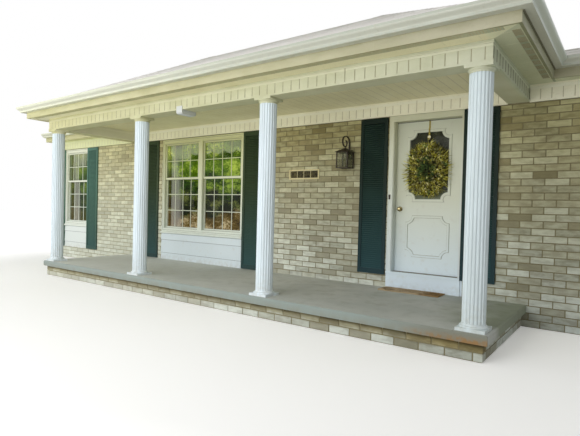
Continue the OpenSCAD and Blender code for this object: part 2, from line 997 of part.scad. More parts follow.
brick_base();
porch_slab();
column_shafts();
column_feet();
column_heads();
front_beam();
side_beams();
porch_ceiling();
front_soffits();
side_soffits();
front_fascias();
side_fascias();
front_gutters();
side_gutters();
front_roof();
side_roofs();
house_roofs();
roof_back();
eave_ends();
wall_plinth();
brick_walls();
wall_head();
wall_friezes();
under_window_walls();
siding_panels();
window_frames();
window_sashes();
window_glass();
shutter_frames();
shutter_louvres();
door_jambs();
door_head();
door_sill();
jamb_hinges();
doorbell();
lantern_cage();
lantern_glass();
lantern_bracket();
plaque_frame();
plaque_tiles();
beam_light();
doormat();
door_leaf();
door_glass();
door_mouldings();
door_knob();
leaf_hinges();
wreath();
wreath_hanger();
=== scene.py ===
# %% [markdown]
# # A front porch
# The frame brings in every solid of the porch, each as a mesh that stays where it is: base,
# slab, four fluted columns, beams, gutters, roof, a length of brick wall, windows, shutters and
# a door. What is made here is what a builder adds last: the bricks, the shingles, the boards,
# the window bars, the curtains, the wreath, and every finish.

# %% Load the frame
import math
import random

import bmesh
import bpy
from mathutils import Matrix, Vector


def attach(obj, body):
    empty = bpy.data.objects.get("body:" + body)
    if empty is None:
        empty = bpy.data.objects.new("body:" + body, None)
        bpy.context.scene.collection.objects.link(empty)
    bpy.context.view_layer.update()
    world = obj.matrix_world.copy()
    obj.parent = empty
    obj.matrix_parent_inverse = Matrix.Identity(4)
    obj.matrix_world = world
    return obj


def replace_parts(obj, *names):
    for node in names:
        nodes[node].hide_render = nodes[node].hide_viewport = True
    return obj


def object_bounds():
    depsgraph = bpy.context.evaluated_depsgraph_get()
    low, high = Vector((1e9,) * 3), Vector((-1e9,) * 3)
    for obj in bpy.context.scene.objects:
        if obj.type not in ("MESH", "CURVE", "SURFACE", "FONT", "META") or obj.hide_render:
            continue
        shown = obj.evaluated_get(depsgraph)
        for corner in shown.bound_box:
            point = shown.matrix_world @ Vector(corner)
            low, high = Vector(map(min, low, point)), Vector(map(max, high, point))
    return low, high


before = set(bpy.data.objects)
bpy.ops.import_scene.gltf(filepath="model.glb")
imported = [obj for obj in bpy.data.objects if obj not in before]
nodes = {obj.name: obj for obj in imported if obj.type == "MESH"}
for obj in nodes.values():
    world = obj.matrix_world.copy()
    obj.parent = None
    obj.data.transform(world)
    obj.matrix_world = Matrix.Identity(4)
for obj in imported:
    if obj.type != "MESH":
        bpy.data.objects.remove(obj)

cad_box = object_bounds()
(cad_left, _, _), (cad_right, back_y, _) = [[round(v, 4) for v in corner] for corner in cad_box]
chance = random.Random(11)
print(len(nodes), "solids, box", [[round(v, 3) for v in c] for c in cad_box])

# %% [markdown]
# The camera stands on the lawn at the right, at eye height, and is turned 36 degrees to the
# left. Those numbers come from matching columns, beams and brick courses. Building the matrix
# from three directions keeps each turn readable: first left, then down, then a slight lean.

# %% Camera
def added(name, data):
    """Puts a new object in the scene."""
    made = bpy.data.objects.new(name, data)
    bpy.context.scene.collection.objects.link(made)
    return made


yaw, pitch, lean = math.radians(36.19), math.radians(-1.09), math.radians(1.48)
ahead = Vector((-math.sin(yaw), math.cos(yaw), 0))
right = Vector((math.cos(yaw), math.sin(yaw), 0))
up = Vector((0, 0, 1))
ahead, up = (math.cos(pitch) * ahead + math.sin(pitch) * up,
             math.cos(pitch) * up - math.sin(pitch) * ahead)
right, up = (math.cos(lean) * right + math.sin(lean) * up,
             math.cos(lean) * up - math.sin(lean) * right)
camera = added("photo_camera", bpy.data.cameras.new("photo_camera"))
camera.data.sensor_width = 36
camera.data.lens = 29.09
camera.matrix_world = Matrix.Translation((4.7502, -5.9744, 1.2878)) @ Matrix(
    (right, up, -ahead)).transposed().to_4x4()
bpy.context.scene.camera = camera
print("camera looks along", [round(v, 3) for v in ahead])

# %% [markdown]
# Finishes are sums on numbers that change over a surface. A node tree can hold those sums, but
# it is slow to read. So one small class wraps a node's output and lets Python write the sum:
# `1 - mask * 0.5` adds two Math nodes by itself, and `a | b` is the larger of two masks.

# %% Sums on sockets
class Wire:
    """One output of a node, which Python can add, take away, multiply, divide and compare."""

    def __init__(self, finish, socket):
        self.finish, self.socket = finish, socket

    def sum(self, operation, left, right):
        return self.finish.node("ShaderNodeMath", {"operation": operation}, {0: left, 1: right})

    def __add__(self, other):
        return self.sum("ADD", self, other)

    def __sub__(self, other):
        return self.sum("SUBTRACT", self, other)

    def __mul__(self, other):
        return self.sum("MULTIPLY", self, other)

    def __truediv__(self, other):
        return self.sum("DIVIDE", self, other)

    def __or__(self, other):
        return self.sum("MAXIMUM", self, other)

    def __gt__(self, other):
        return self.sum("GREATER_THAN", self, other)

    def __lt__(self, other):
        return self.sum("LESS_THAN", self, other)

    def __rsub__(self, other):
        return self.sum("SUBTRACT", other, self)

    __radd__ = __add__
    __rmul__ = __mul__


def as_light(colour):
    """Turns a colour as a screen shows it, 0 to 255, into the light that Blender works with."""
    return colour if isinstance(colour, Wire) else tuple(
        c / 3294.6 if c < 11 else ((c / 255 + 0.055) / 1.055) ** 2.4 for c in colour) + (1.0,)


print("mid grey is", round(as_light((128, 128, 128))[0], 3), "as light")

# %% [markdown]
# A finish is one material: a surface shader, and the nodes that feed it. Every other node comes
# from one method, which takes the node's type, its settings and what goes into its sockets.
# Patterns read Object coordinates, which are metres here, so a grain of 2 mm is 2 mm. A colour
# is built as a painter builds it: a ground, and then coats, each laid on only where its mask is.

# %% Finishes
class Finish:
    """A material with short ways to add noise, ramps, mixes and bumps."""

    def __init__(self, name, kind="materials", surface="Principled BSDF", **plain):
        self.material = getattr(bpy.data, kind).new(name)
        self.material.use_nodes = True
        self.tree = self.material.node_tree
        self.surface = self.tree.nodes[surface]
        for socket, value in plain.items():
            self.socket(socket).default_value = value
        self.place = self.node("ShaderNodeTexCoord", out="Object")

    def node(self, kind, settings={}, inputs={}, out=0):
        """Adds a node, sets it up, and sets or wires its inputs."""
        made = self.tree.nodes.new(kind)
        for name, value in settings.items():
            if name == "stops":
                while len(made.color_ramp.elements) < len(value):
                    made.color_ramp.elements.new(1)
                for element, (at, colour) in zip(made.color_ramp.elements, value):
                    element.position, element.color = at, as_light(colour)
            else:
                setattr(made, name, value)
        for socket, value in inputs.items():
            if isinstance(value, Wire):
                self.tree.links.new(value.socket, made.inputs[socket])
            else:
                made.inputs[socket].default_value = value
        return Wire(self, made.outputs[out])

    def socket(self, name):
        return self.surface.inputs[name.replace("_", " ").title().replace("Ior", "IOR")]

    def feed(self, **wires):
        """Wires inputs of the surface."""
        for name, wire in wires.items():
            self.tree.links.new(wire.socket, self.socket(name))
        return self

    def axis(self, letter):
        return self.node("ShaderNodeSeparateXYZ", {}, {0: self.place}, "XYZ".index(letter))

    def facing(self, letter):
        """How far a surface looks along an axis, from -1 to 1."""
        way = self.node("ShaderNodeTexCoord", out="Normal")
        return self.node("ShaderNodeSeparateXYZ", {}, {0: way}, "XYZ".index(letter))

    def noise(self, scale, detail=3, stretch=(1, 1, 1), rough=0.5):
        at = self.node("ShaderNodeMapping", {}, {"Vector": self.place, "Scale": stretch})
        return self.node("ShaderNodeTexNoise", {}, {
            "Vector": at, "Scale": scale, "Detail": detail, "Roughness": rough}, "Fac")

    def mask(self, wire, low, high):
        """0 below low, 1 above high, and even in between."""
        return self.node("ShaderNodeMapRange", {}, {
            "Value": wire, "From Min": low, "From Max": high})

    def below(self, wire, low, high):
        """The rest of a mask: 1 below low, 0 above high."""
        return 1 - self.mask(wire, low, high)

    def tone(self):
        """The number that each brick, board or leaf carries."""
        return self.node("ShaderNodeAttribute", {"attribute_name": "tone"}, out="Fac")

    def ramp(self, wire, *stops):
        return self.node("ShaderNodeValToRGB", {"stops": stops}, {"Fac": wire}, "Color")

    def blend(self, a, b, factor, kind="MIX"):
        """Mixes two colours. Each is a wire or three numbers from 0 to 255."""
        return self.node("ShaderNodeMix", {"data_type": "RGBA", "blend_type": kind}, {
            0: factor, 6: as_light(a), 7: as_light(b)}, 2)

    def coats(self, colour, *coats):
        """Lays coats over a colour. Each is a colour, how much of it, and how it mixes."""
        for coat, much, *kind in coats:
            colour = self.blend(colour, coat, much, *kind)
        return colour

    def bump(self, height, distance, strength=1.0):
        return self.node("ShaderNodeBump", {}, {
            "Height": height, "Distance": distance, "Strength": strength})


def clouded(name, one, other, scale, detail=3, stretch=(1, 1, 1), **plain):
    """A finish that drifts between two colours."""
    made = Finish(name, **plain)
    return made.feed(base_color=made.blend(one, other, made.noise(scale, detail, stretch)))


print("finish helper ready")

# %% [markdown]
# New pieces start as boxes, discs or grids in a bmesh. Hundreds of boxes share one bevel at the
# end, because a single bevel over a whole mesh is far faster than one for each. Every face
# carries a number, its tone, so that one material can give each brick a colour of its own.

# %% Shapes
def blank():
    """An empty bmesh whose faces carry a tone."""
    shape = bmesh.new()
    shape.faces.layers.float.new("tone")
    return shape


def tint(shape, verts):
    """Gives the faces at some vertices one random tone."""
    layer, value = shape.faces.layers.float["tone"], chance.random()
    for face in {f for v in verts for f in v.link_faces}:
        face[layer] = value


def box(shape, low, high, turn=Matrix()):
    """Adds a box between two corners, with a tone of its own."""
    low, high = Vector(low), Vector(high)
    place = turn @ Matrix.Translation((low + high) / 2) @ Matrix.Diagonal((*(high - low), 1))
    tint(shape, bmesh.ops.create_cube(shape, size=1, matrix=place)["verts"])


def soften(shape, width):
    """Bevels every edge of a bmesh."""
    bmesh.ops.bevel(shape, geom=list(shape.edges), offset=width, segments=1,
                    profile=0.5, affect="EDGES", material=-1)


def cut(shape, point, away):
    """Cuts a bmesh by a plane, drops what lies towards away, and closes the holes."""
    made = bmesh.ops.bisect_plane(shape, geom=[*shape.verts, *shape.edges, *shape.faces],
                                  plane_co=point, plane_no=away, clear_outer=True)
    rim = [e for e in made["geom_cut"] if isinstance(e, bmesh.types.BMEdge)]
    bmesh.ops.holes_fill(shape, edges=rim, sides=0)


def mesh_of(name, shape):
    """Turns a bmesh into a mesh and frees it."""
    mesh = bpy.data.meshes.new(name)
    shape.to_mesh(mesh)
    shape.free()
    return mesh


def join(shape, part):
    """Moves a bmesh into another one."""
    copy = mesh_of("copy", part)
    shape.from_mesh(copy)
    bpy.data.meshes.remove(copy)


print("shape helpers ready")

# %% [markdown]
# A finished shape becomes an object at the origin, built where it stands. It rides on a body,
# the porch or the door, so that it moves with it, and takes its finish. The solids of the frame
# only need a finish.

# %% Pieces
triangles = {}


def piece(name, shape, finish, body="porch", smooth=False, edge=0.0):
    """Makes an object of a bmesh. It rides on a body and takes a finish."""
    if edge:
        soften(shape, edge)
    mesh = mesh_of(name, shape)
    mesh.materials.append(finish.material)
    mesh.polygons.foreach_set("use_smooth", [smooth] * len(mesh.polygons))
    made = added(name, mesh)
    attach(made, body)
    triangles[name] = sum(len(p.vertices) - 2 for p in mesh.polygons)
    print(name, triangles[name], "triangles")
    return made


def dress(finish, *names):
    """Gives a finish to solids of the frame."""
    for name in names:
        nodes[name].data.materials.clear()
        nodes[name].data.materials.append(finish.material)
    print(finish.material.name, "on", *names)


print("piece helpers ready")

# %% [markdown]
# The wall is faced with long bricks, 234 by 71 mm, in running bond: every other course starts
# half a brick further on. A pattern in a material could draw them, but flat joints look painted
# on from the side. So each brick is a real box that stands 6 mm out of the wall, and the solid
# wall behind shows between them as the mortar.

# %% Bricks
brick_pitch, course, joint, proud = 0.244, 0.0813, 0.010, 0.006
whole, sunk_in = 0.1, 0.02


def lay(shape, panels, turn=Matrix(), first=0.0):
    """Lays bricks over panels (left, right, bottom, top, how deep the end bricks are)."""
    for left, right_end, bottom, top, left_deep, right_deep in panels:
        for row in range(math.floor(bottom / course + 0.01), math.ceil(top / course)):
            low = max(row * course + joint / 2, bottom)
            high = min((row + 1) * course - joint / 2, top)
            start = first + (row % 2) * brick_pitch / 2
            column = math.floor((left - start) / brick_pitch)
            while high - low > 0.012 and start + column * brick_pitch < right_end:
                a = max(start + column * brick_pitch + joint / 2, left)
                b = min(start + (column + 1) * brick_pitch - joint / 2, right_end)
                column += 1
                if b - a < 0.03:
                    continue
                deep = left_deep if a == left else right_deep if b == right_end else sunk_in
                out = proud + chance.uniform(-0.0012, 0.0012)
                box(shape, (a, -out, low), (b, deep, high), turn)


wall_left, wall_right = cad_left - 0.004, cad_right + 0.004
wall_top, footing_top, worn_edge = 2.572, 3 * course, 0.0028
windows, doorway = ((-6.39, -5.41), (-2.755, -0.625)), (2.048, 3.058)
base_x, base_y = 3.738, 1.734
ends = (wall_left, *windows[0], *windows[1], *doorway, wall_right)
wall_bricks = blank()
lay(wall_bricks, [(wall_left, -base_x, 0.0, footing_top, whole, sunk_in),
                  (base_x, wall_right, 0.0, footing_top, sunk_in, whole),
                  *((left, right_end, footing_top, wall_top, whole, whole)
                    for left, right_end in zip(ends[::2], ends[1::2]))], first=0.03)
print(len(wall_bricks.faces) // 6, "bricks in the wall")

# %% [markdown]
# The porch stands on a low wall of the same bricks. At its corners a brick of the front shows
# its end on the side, in every course, so the end bricks of the front run are 100 mm deep and
# the side runs start behind them.

# %% Base bricks
base_bricks, base_bottom, base_top = blank(), 0.002, 0.160
lay(base_bricks, [(-base_x - proud, base_x + proud, base_bottom, base_top, whole, whole)],
    Matrix.Translation((0, -base_y, 0)))
for side in (1, -1):
    run = sorted((side * (whole + joint - base_y), side * -0.004))
    lay(base_bricks, [(*run, base_bottom, base_top, sunk_in, sunk_in)],
        Matrix.Translation((side * base_x, 0, 0)) @ Matrix.Rotation(side * math.pi / 2, 4, "Z"))
print(len(base_bricks.faces) // 6, "bricks in the base")

# %% [markdown]
# The bricks differ: cream, tan, taupe and a few that are nearly grey, each a little cloudy, with
# fine dark specks. The brick's tone picks its colour from a ramp, and noise clouds it. Then come
# coats by place, most of them painted light and shade: a warm cast high up and a cool one low
# down, painted shade at the right end, a paler foot, painted sunlight at the left end, and under
# the slab's lip painted shade, browned as by run-off, darkest at the very top and warmest near the
# right corner.

# %% Brick finish
brick = Finish("brick", roughness=0.88)
tone = brick.tone()
clay = brick.ramp(tone, (0.0, (163, 154, 128)), (0.1, (180, 170, 144)),
                  (0.16, (198, 190, 167)), (0.45, (213, 206, 184)),
                  (0.52, (186, 182, 163)), (0.7, (203, 197, 180)),
                  (0.76, (232, 227, 209)), (1.0, (246, 243, 231)))
cloud = brick.mask(brick.noise(17, 3, (0.5, 1, 1.2)), 0.38, 0.66)
speck = brick.mask(brick.noise(420, 2), 0.62, 0.72)
clay = brick.coats(
    clay,
    ((138, 126, 104), (1 - cloud) * 0.34),
    ((238, 234, 222), cloud * brick.mask(tone, 0.1, 0.7) * 0.42),
    ((92, 80, 64), speck * 0.4))
print("clay in", len(brick.tree.nodes), "nodes")

# %% Painted light and shade, and run-off, on the bricks
across, high = brick.axis("X"), brick.axis("Z")
rise = brick.mask(high, 0.1, 2.4)
shady = brick.mask(across, -3.0, 3.6)
sunlit_end = brick.below(across, -4.2, -2.2)
lip_shade_zone = brick.mask(brick.axis("Y") * -1, 1.60, 1.65)
run_off = 0.2 + 0.8 * brick.mask(high + brick.noise(9, 3) * 0.06, 0.09, 0.14)
near_corner = brick.mask(across, 2.4, 3.4) * brick.mask(high, 0.078, 0.086)
clay = brick.coats(
    clay,
    # Painted light: a warm cast high up, a cool one low down, painted shade at the right end, and
    # a paler foot.
    (brick.blend((242, 248, 250), (228, 220, 172), rise), 1.0, "MULTIPLY"),
    (brick.blend((252, 255, 253), (226, 232, 236), shady), 1.0, "MULTIPLY"),
    ((230, 236, 234), (1 - rise) * (1 - shady) * 0.35),
    # Painted sunlight at the left end.
    ((226, 232, 204), sunlit_end * 0.2),
    # Painted shade under the slab's lip, browned as by run-off, darkest at the very top.
    ((190, 181, 156), lip_shade_zone * run_off, "MULTIPLY"),
    ((170, 162, 140), lip_shade_zone * brick.mask(high, 0.118, 0.146), "MULTIPLY"),
    ((244, 228, 190), lip_shade_zone * near_corner * brick.mask(tone, 0.3, 0.5), "MULTIPLY"))
grain = brick.noise(260, 3) + brick.noise(38, 3) * 1.4
brick.feed(base_color=clay, normal=brick.bump(grain, 0.0016, 0.8))
piece("wall_bricks", wall_bricks, brick, edge=worn_edge)
piece("base_bricks", base_bricks, brick, edge=worn_edge)

# %% [markdown]
# The solid walls behind the bricks are the mortar at the front and rough boarding at the back,
# where the house was cut away. One material does both: it looks at how far back a point is.

# %% Mortar and boarding
mortar = Finish("mortar", roughness=0.95)
back = mortar.mask(mortar.axis("Y"), 0.1, 0.102)
sunlit_end = mortar.below(mortar.axis("X"), -4.2, -2.2)
# The sand is painted lighter at the left end, as painted sunlight.
sand = mortar.coats((142, 134, 101), ((112, 104, 75), mortar.noise(60, 4)),
                    ((176, 174, 130), sunlit_end * 0.42))
board_high = 0.184
row = mortar.axis("Z") / board_high
shade = mortar.node("ShaderNodeTexWhiteNoise", {"noise_dimensions": "1D"}, {
    "W": mortar.node("ShaderNodeMath", {"operation": "FLOOR"}, {0: row})}, "Value")
edge = mortar.node("ShaderNodeMath", {"operation": "FRACT"}, {0: row})
seam = (edge < 0.025) * back
wood = mortar.coats(
    (196, 170, 128), ((172, 142, 100), shade),
    ((140, 108, 70), mortar.mask(mortar.noise(9, 5, (1, 6, 14)), 0.45, 0.75) * 0.6),
    ((60, 44, 30), seam))
rough = mortar.noise(320, 4) * (1 - back) + (1 - seam) * 2
mortar.feed(base_color=mortar.blend(sand, wood, back), normal=mortar.bump(rough, 0.0015))
dress(mortar, "brick_base", "brick_walls", "wall_plinth", "wall_head", "under_window_walls",
      "roof_back")

# %% [markdown]
# The roof rises one part in two. It is laid with pale grey shingles: thin mineral sheets cut
# into tabs, each course covering the top of the one below, 140 mm further up. Here each tab is a
# thin box in the slope's own frame, where u runs along the eave, v up the slope and w away from
# it. A tab's lower end rests on the course below, so the box is sheared to lie at a slight angle.
# A plane through each hip or valley then trims the tabs of a slope, as a roofer's knife does.

# %% Shingles
steep, slant = 0.5, math.hypot(1, 0.5)
tab, show, thick = 0.305, 0.140, 0.0042


def slope(shape, origin, along, length, run, cuts):
    """Covers one slope, whose eave starts at origin and runs along for a length."""
    up = Matrix.Rotation(math.pi / 2, 3, "Z") @ along
    rise = (up + Vector((0, 0, steep))).normalized()
    frame_turn = Matrix((along, rise, along.cross(rise))).transposed().to_4x4()
    lean = Matrix.Identity(4)
    lean[2][1] = -thick * 1.25 / show
    part = blank()
    for row in range(math.ceil(run * slant / show)):
        offset = -tab * (0.5 * (row % 2) + 0.07 * (row % 5))
        for column in range(math.ceil(length / tab) + 2):
            u = offset + column * tab
            low = -0.014 if row == 0 else chance.uniform(-0.002, 0.002)
            box(part, (u + 0.003, low, thick * 1.2), (u + tab - 0.003, show + 0.02, thick * 2.2),
                Matrix.Translation(origin) @ frame_turn
                @ Matrix.Translation((0, row * show, 0)) @ lean)
    for point, away in cuts:
        cut(part, point, away)
    join(shape, part)


def mirrored(plane):
    """The same cut at the porch's left end."""
    (x, y, z), (a, b, c) = plane
    return (-x, y, z), (-a, b, c)


def other_side(plane):
    """The same cut, but it drops what it kept."""
    point, away = plane
    return point, tuple(-v for v in away)


shingles = blank()
eave_x, eave_y, eave_z, house_y = 4.013, -2.009, 2.970, -0.2
hip, valley = ((eave_x, eave_y, 0), (1, 1, 0)), ((eave_x, house_y, 0), (1, 1, 0))
left_cut, right_cut = ((wall_left, 0, 0), (-1, 0, 0)), ((wall_right, 0, 0), (1, 0, 0))
for start, along, length, run, cuts in (
        ((-4.03, eave_y), (1, 0), 8.06, 2.25, [hip, mirrored(hip)]),
        ((eave_x, -2.03), (0, 1), 2.3, 2.25, [other_side(hip), valley]),
        ((-eave_x, back_y), (0, -1), 2.3, 2.25, [other_side(mirrored(hip)), mirrored(valley)]),
        ((3.5, house_y), (1, 0), 1.3, 0.44, [other_side(valley), right_cut]),
        ((-7.0, house_y), (1, 0), 3.5, 0.44, [other_side(mirrored(valley)), left_cut])):
    slope(shingles, (*start, eave_z), Vector((*along, 0)), length, run,
          [*cuts, ((0, back_y, 0), (0, 1, 0))])
print(len(shingles.faces), "faces of shingles")

# %% [markdown]
# Where two slopes meet at a hip, single tabs are folded over the edge, one on the next. Each is
# a grid of two faces whose outer points are moved down the two slopes, and then gets its
# thickness from solidify.

# %% Hip caps
for side in (1, -1):
    start, top = Vector((side * 4.02, -2.016, 2.966)), Vector((side * 1.764, back_y, 4.0945))
    hip_way = (top - start).normalized()
    wings = [hip_way.cross(n).normalized() for n in
             (Vector((0, -steep, 1)).normalized(), Vector((side * steep, 0, 1)).normalized())]
    wings = [w if w.z < 0 else -w for w in wings]
    for step in range(math.ceil((top - start).length / show)):
        cap = blank()
        made = bmesh.ops.create_grid(cap, x_segments=2, y_segments=1, size=0.5)["verts"]
        for v in made:
            wing = wings[0] if v.co.x < 0 else wings[1]
            lift = thick * (2.4 if v.co.y < 0 else 0.9)
            v.co = (start + hip_way * (show * (step + v.co.y + 0.5) - 0.01 + 0.03 * (v.co.y > 0))
                    + wing * abs(v.co.x) * 0.24 + Vector((0, 0, lift + 0.003)))
        bmesh.ops.recalc_face_normals(cap, faces=cap.faces)
        if cap.faces[:][0].normal.z < 0:
            bmesh.ops.reverse_faces(cap, faces=cap.faces)
        bmesh.ops.solidify(cap, geom=cap.faces, thickness=0.0038)
        tint(cap, cap.verts)
        join(shingles, cap)
cut(shingles, (0, back_y, 0), (0, 1, 0))
print(len(shingles.faces), "faces with the caps")

# %% [markdown]
# The roof has faded in the sun: nearly white with a grey cast, each tab a shade of its own,
# covered in mineral grit. The front slope is painted whitest, as painted sunlight. Rain leaves
# faint darker streaks that run down the slope, and the rim along the eave is a strip of white
# metal.

# %% Shingle finish
shingle = Finish("shingle", roughness=0.95)
grit = shingle.noise(520, 3)
streak = shingle.mask(shingle.noise(2.2, 5, (3, 0.6, 0.6)), 0.5, 0.72)
sunlit_front_slope = (shingle.mask(shingle.facing("Y") * -1, 0.2, 0.4)
               * shingle.below(shingle.axis("Y"), -1.9, 0.2))
rim = shingle.below(shingle.axis("Z"), 2.976, 2.984)
mineral = shingle.coats(
    shingle.ramp(shingle.tone(), (0.0, (196, 194, 186)), (0.35, (214, 212, 205)),
                 (0.7, (204, 204, 200)), (1.0, (222, 220, 212))),
    ((150, 148, 142), shingle.mask(grit, 0.5, 0.75) * 0.45),
    ((172, 172, 160), streak * 0.3),
    # Painted sunlight on the front slope.
    ((255, 253, 250), sunlit_front_slope * 0.8),
    ((255, 255, 252), rim))
shingle.feed(base_color=mineral, normal=shingle.bump(grit + shingle.noise(90, 2), 0.0015, 0.7))
piece("roof_shingles", shingles, shingle)
dress(shingle, "front_roof", "side_roofs", "house_roofs")

# %% [markdown]
# Beams and the frieze over the wall are faced with upright boards, 114 mm wide, with a groove
# between each two. The grooves stop short of the top, under a plain strip. The boards are boxes
# with bevelled edges, and a thin dark strip in the bottom of each groove is painted shade.

# %% Upright boards
board_w, skin, board_edge = 0.1145, 0.0045, 0.0024


def boards(shape, low, high, run, width=board_w, gap=0.0016, grooves=None, phase=0.0,
           sunk=0.0009):
    """Fills a flat region with boards side by side along X (0) or Y (1).

    One joint lies at phase. Each groove holds a dark strip of painted shade, sunk below both
    faces."""
    thin = min(range(3), key=lambda i: high[i] - low[i])
    ends = [phase + i * width for i in range(math.ceil((low[run] - phase) / width + 0.1),
                                             math.floor((high[run] - phase) / width - 0.1) + 1)]
    ends = [low[run] - gap / 2, *ends, high[run] + gap / 2]
    for start, end in zip(ends, ends[1:]):
        a, b = list(low), list(high)
        a[run], b[run] = start + gap / 2, end - gap / 2
        box(shape, a, b)
        if grooves and end < high[run]:
            a[thin] += sunk
            b[thin] -= sunk
            a[run], b[run] = end - gap / 2 - 0.0004, end + gap / 2 + 0.0004
            box(grooves, a, b)


cladding, grooves, side_grooves = blank(), blank(), blank()
beam_in, beam_out, front_in, front_out = 3.517, 3.743, 1.513, 1.739
one_board = 9.0
for low_z, high_z, wide in ((2.6105, 2.724, board_w), (2.724, 2.7505, one_board)):
    boards(cladding, (-beam_out - skin, -front_out - skin, low_z),
           (beam_out + skin, -front_out + 0.001, high_z), 0, wide, 0.006, grooves, 2.308)
    for side in (1, -1):
        x = sorted((side * (beam_out - 0.001), side * (beam_out + skin)))
        boards(cladding, (x[0], -front_out, low_z), (x[1], -0.026, high_z), 1, wide, 0.022,
               side_grooves, 0.0, 0.0003)
print(len(cladding.faces) // 6, "boards on the beams")

# %% Frieze boards
frieze_cladding = blank()
for left, right_end in ((cad_left, -3.756), (-beam_in, beam_in), (3.756, cad_right)):
    for low_z, high_z, wide in ((2.6025, 2.722, 0.1116), (2.722, 2.7555, one_board)):
        boards(frieze_cladding, (left, -0.0245, low_z), (right_end, -0.019, high_z), 0, wide,
               0.0075, grooves, 2.412)
print(len(frieze_cladding.faces) // 6, "boards on the wall")

# %% [markdown]
# The cream trim is vinyl and painted metal. It has dulled unevenly: faint cloudy patches, small
# spots, a slight ripple in the sheet, and each board is off by a hair. Outdoors it also takes
# colour from sun, lawn and shade, which a plain studio doesn't give. So the finish carries them as
# painted light and shade: from warm at the left to cool round the right corner, lighter on the
# plain strip and under the beam, darker on the soffit sheet. Three paints share it: one for beams,
# a lighter copy for the ceiling and frieze, as painted light, and one for fascias, with more
# painted shade at the right.

# %% Cream trim
def beside(finish):
    """1 past the porch's right end, behind the mitre where the eave turns."""
    return (finish.axis("X") > 3.745) * (finish.axis("X") + finish.axis("Y") > 2.0)


def shaded_side(finish, colour):
    """Paints shade, mottled by noise, on what looks away from the sun at the porch's right end."""
    end = finish.mask(finish.axis("X"), 3.70, 3.745) * finish.below(
        finish.facing("Y") * -1, 0.4, 0.8)
    shade_mottle = 0.75 + 0.25 * finish.mask(finish.noise(5, 4, (1, 1, 0.4)), 0.35, 0.7)
    return finish.blend(colour, (244, 252, 255), end * shade_mottle, "MULTIPLY")


def placed(finish, cream):
    """Lays on painted light and shade by place: lighter on the plain strip, under the beam and on
    inner faces at the left end, darker on the soffit sheet, more so round the right corner, and on
    the house's left end.
    """
    x, y, z = (finish.axis(letter) for letter in "XYZ")
    down = finish.mask(finish.facing("Z") * -1, 0.5, 0.9)
    strip = finish.mask(z, 2.715, 2.73) * finish.below(z, 2.752, 2.76) * (1 - down)
    inner_left = finish.mask(finish.facing("X"), 0.5, 0.9) * (x < -3.4)
    sunny_eave = finish.mask(y * -1, 1.74, 1.75) * finish.below(x, -3.6, -0.5)
    sheet = down * finish.mask(z, 2.77, 2.774) * (1 - sunny_eave)
    return finish.coats(
        cream,
        ((148, 146, 124), strip, "SCREEN"),
        ((130, 126, 84), down * finish.below(z, 2.62, 2.64), "SCREEN"),
        ((238, 235, 214), inner_left * 0.7),
        ((243, 240, 223), sheet, "MULTIPLY"),
        ((226, 230, 230), sheet * beside(finish), "MULTIPLY"),
        ((229, 235, 212), (x < -3.75) * (y > -0.1), "MULTIPLY"))


def cream_paint(name, fresh, dusty, sunny, shady):
    """A cream finish between two colours, with painted light that goes from a sunny cast at the
    left to a shady one at the right.
    """
    made = Finish(name, roughness=0.48)
    dull = made.mask(made.noise(3.2, 4, (1, 1, 2.5)), 0.35, 0.75)
    cast = made.blend(sunny, shady, made.mask(made.axis("X"), -3.6, 3.6))
    cream = made.coats(
        fresh,
        (dusty, dull),
        ((188, 180, 150), made.mask(made.noise(46, 4), 0.56, 0.8) * 0.3),
        (fresh, made.tone() * 0.35),
        (cast, 1.0, "MULTIPLY"))
    ripples = made.noise(14, 2, (1, 1, 0.3)) + made.noise(240, 2) * 0.15
    return made.feed(base_color=shaded_side(made, placed(made, cream)),
                     roughness=0.42 + 0.2 * dull, normal=made.bump(ripples, 0.002, 0.5))


trim = cream_paint("cream_trim", (212, 208, 178), (196, 192, 158), (246, 248, 220),
                   (240, 248, 255))
lightened_trim = cream_paint("lightened_cream_trim", (254, 251, 228), (244, 240, 214), (254, 255, 244),
                        (255, 255, 255))
fascia_paint = cream_paint("fascia_paint", (212, 208, 178), (196, 192, 158), (248, 249, 222),
                           (214, 214, 212))
piece("upright_boards", cladding, trim, edge=board_edge)
piece("frieze_boards", frieze_cladding, lightened_trim, edge=board_edge)
dress(trim, "front_beam", "side_beams", "eave_ends")
dress(lightened_trim, "wall_friezes", "porch_ceiling")

# %% Painted shade in the grooves
shadow = Finish("groove_painted_shade", roughness=0.9)
x, y, z = (shadow.axis(letter) for letter in "XYZ")
# The strips are painted shade: darker at the left, lighter high up and at the right, and much
# lighter in the frieze and ceiling.
inner = shadow.mask(y + (z > 2.765) * 4, -1.0, -0.5)
shadow.feed(base_color=shadow.coats(
    (150, 145, 118),
    ((116, 111, 88), shadow.mask(shadow.noise(24, 4), 0.3, 0.7)),
    ((96, 88, 54), 0.7 - 0.7 * shadow.mask(x, -3.0, 1.5)),
    ((176, 170, 142), 0.6 * (shadow.mask(z, 2.66, 2.72) | shadow.mask(x, 1.0, 3.4))),
    ((218, 211, 182), inner * 0.78)))
piece("board_grooves", grooves, shadow)
deep_shadow = clouded("side_groove_painted_shade", (128, 127, 104), (104, 103, 84), 24, 4, roughness=0.9)
piece("side_board_grooves", side_grooves, deep_shadow)

# %% [markdown]
# The ceiling and the soffits under the eaves are the same sheet, laid flat, with its grooves
# running from front to back. Under the eave, next to the fascia, a strip is punched with small
# louvres in groups, which let the roof breathe. Each louvre is a rib over a recess, whose colour
# is painted shade for the dark roof space behind, darker round the right corner.

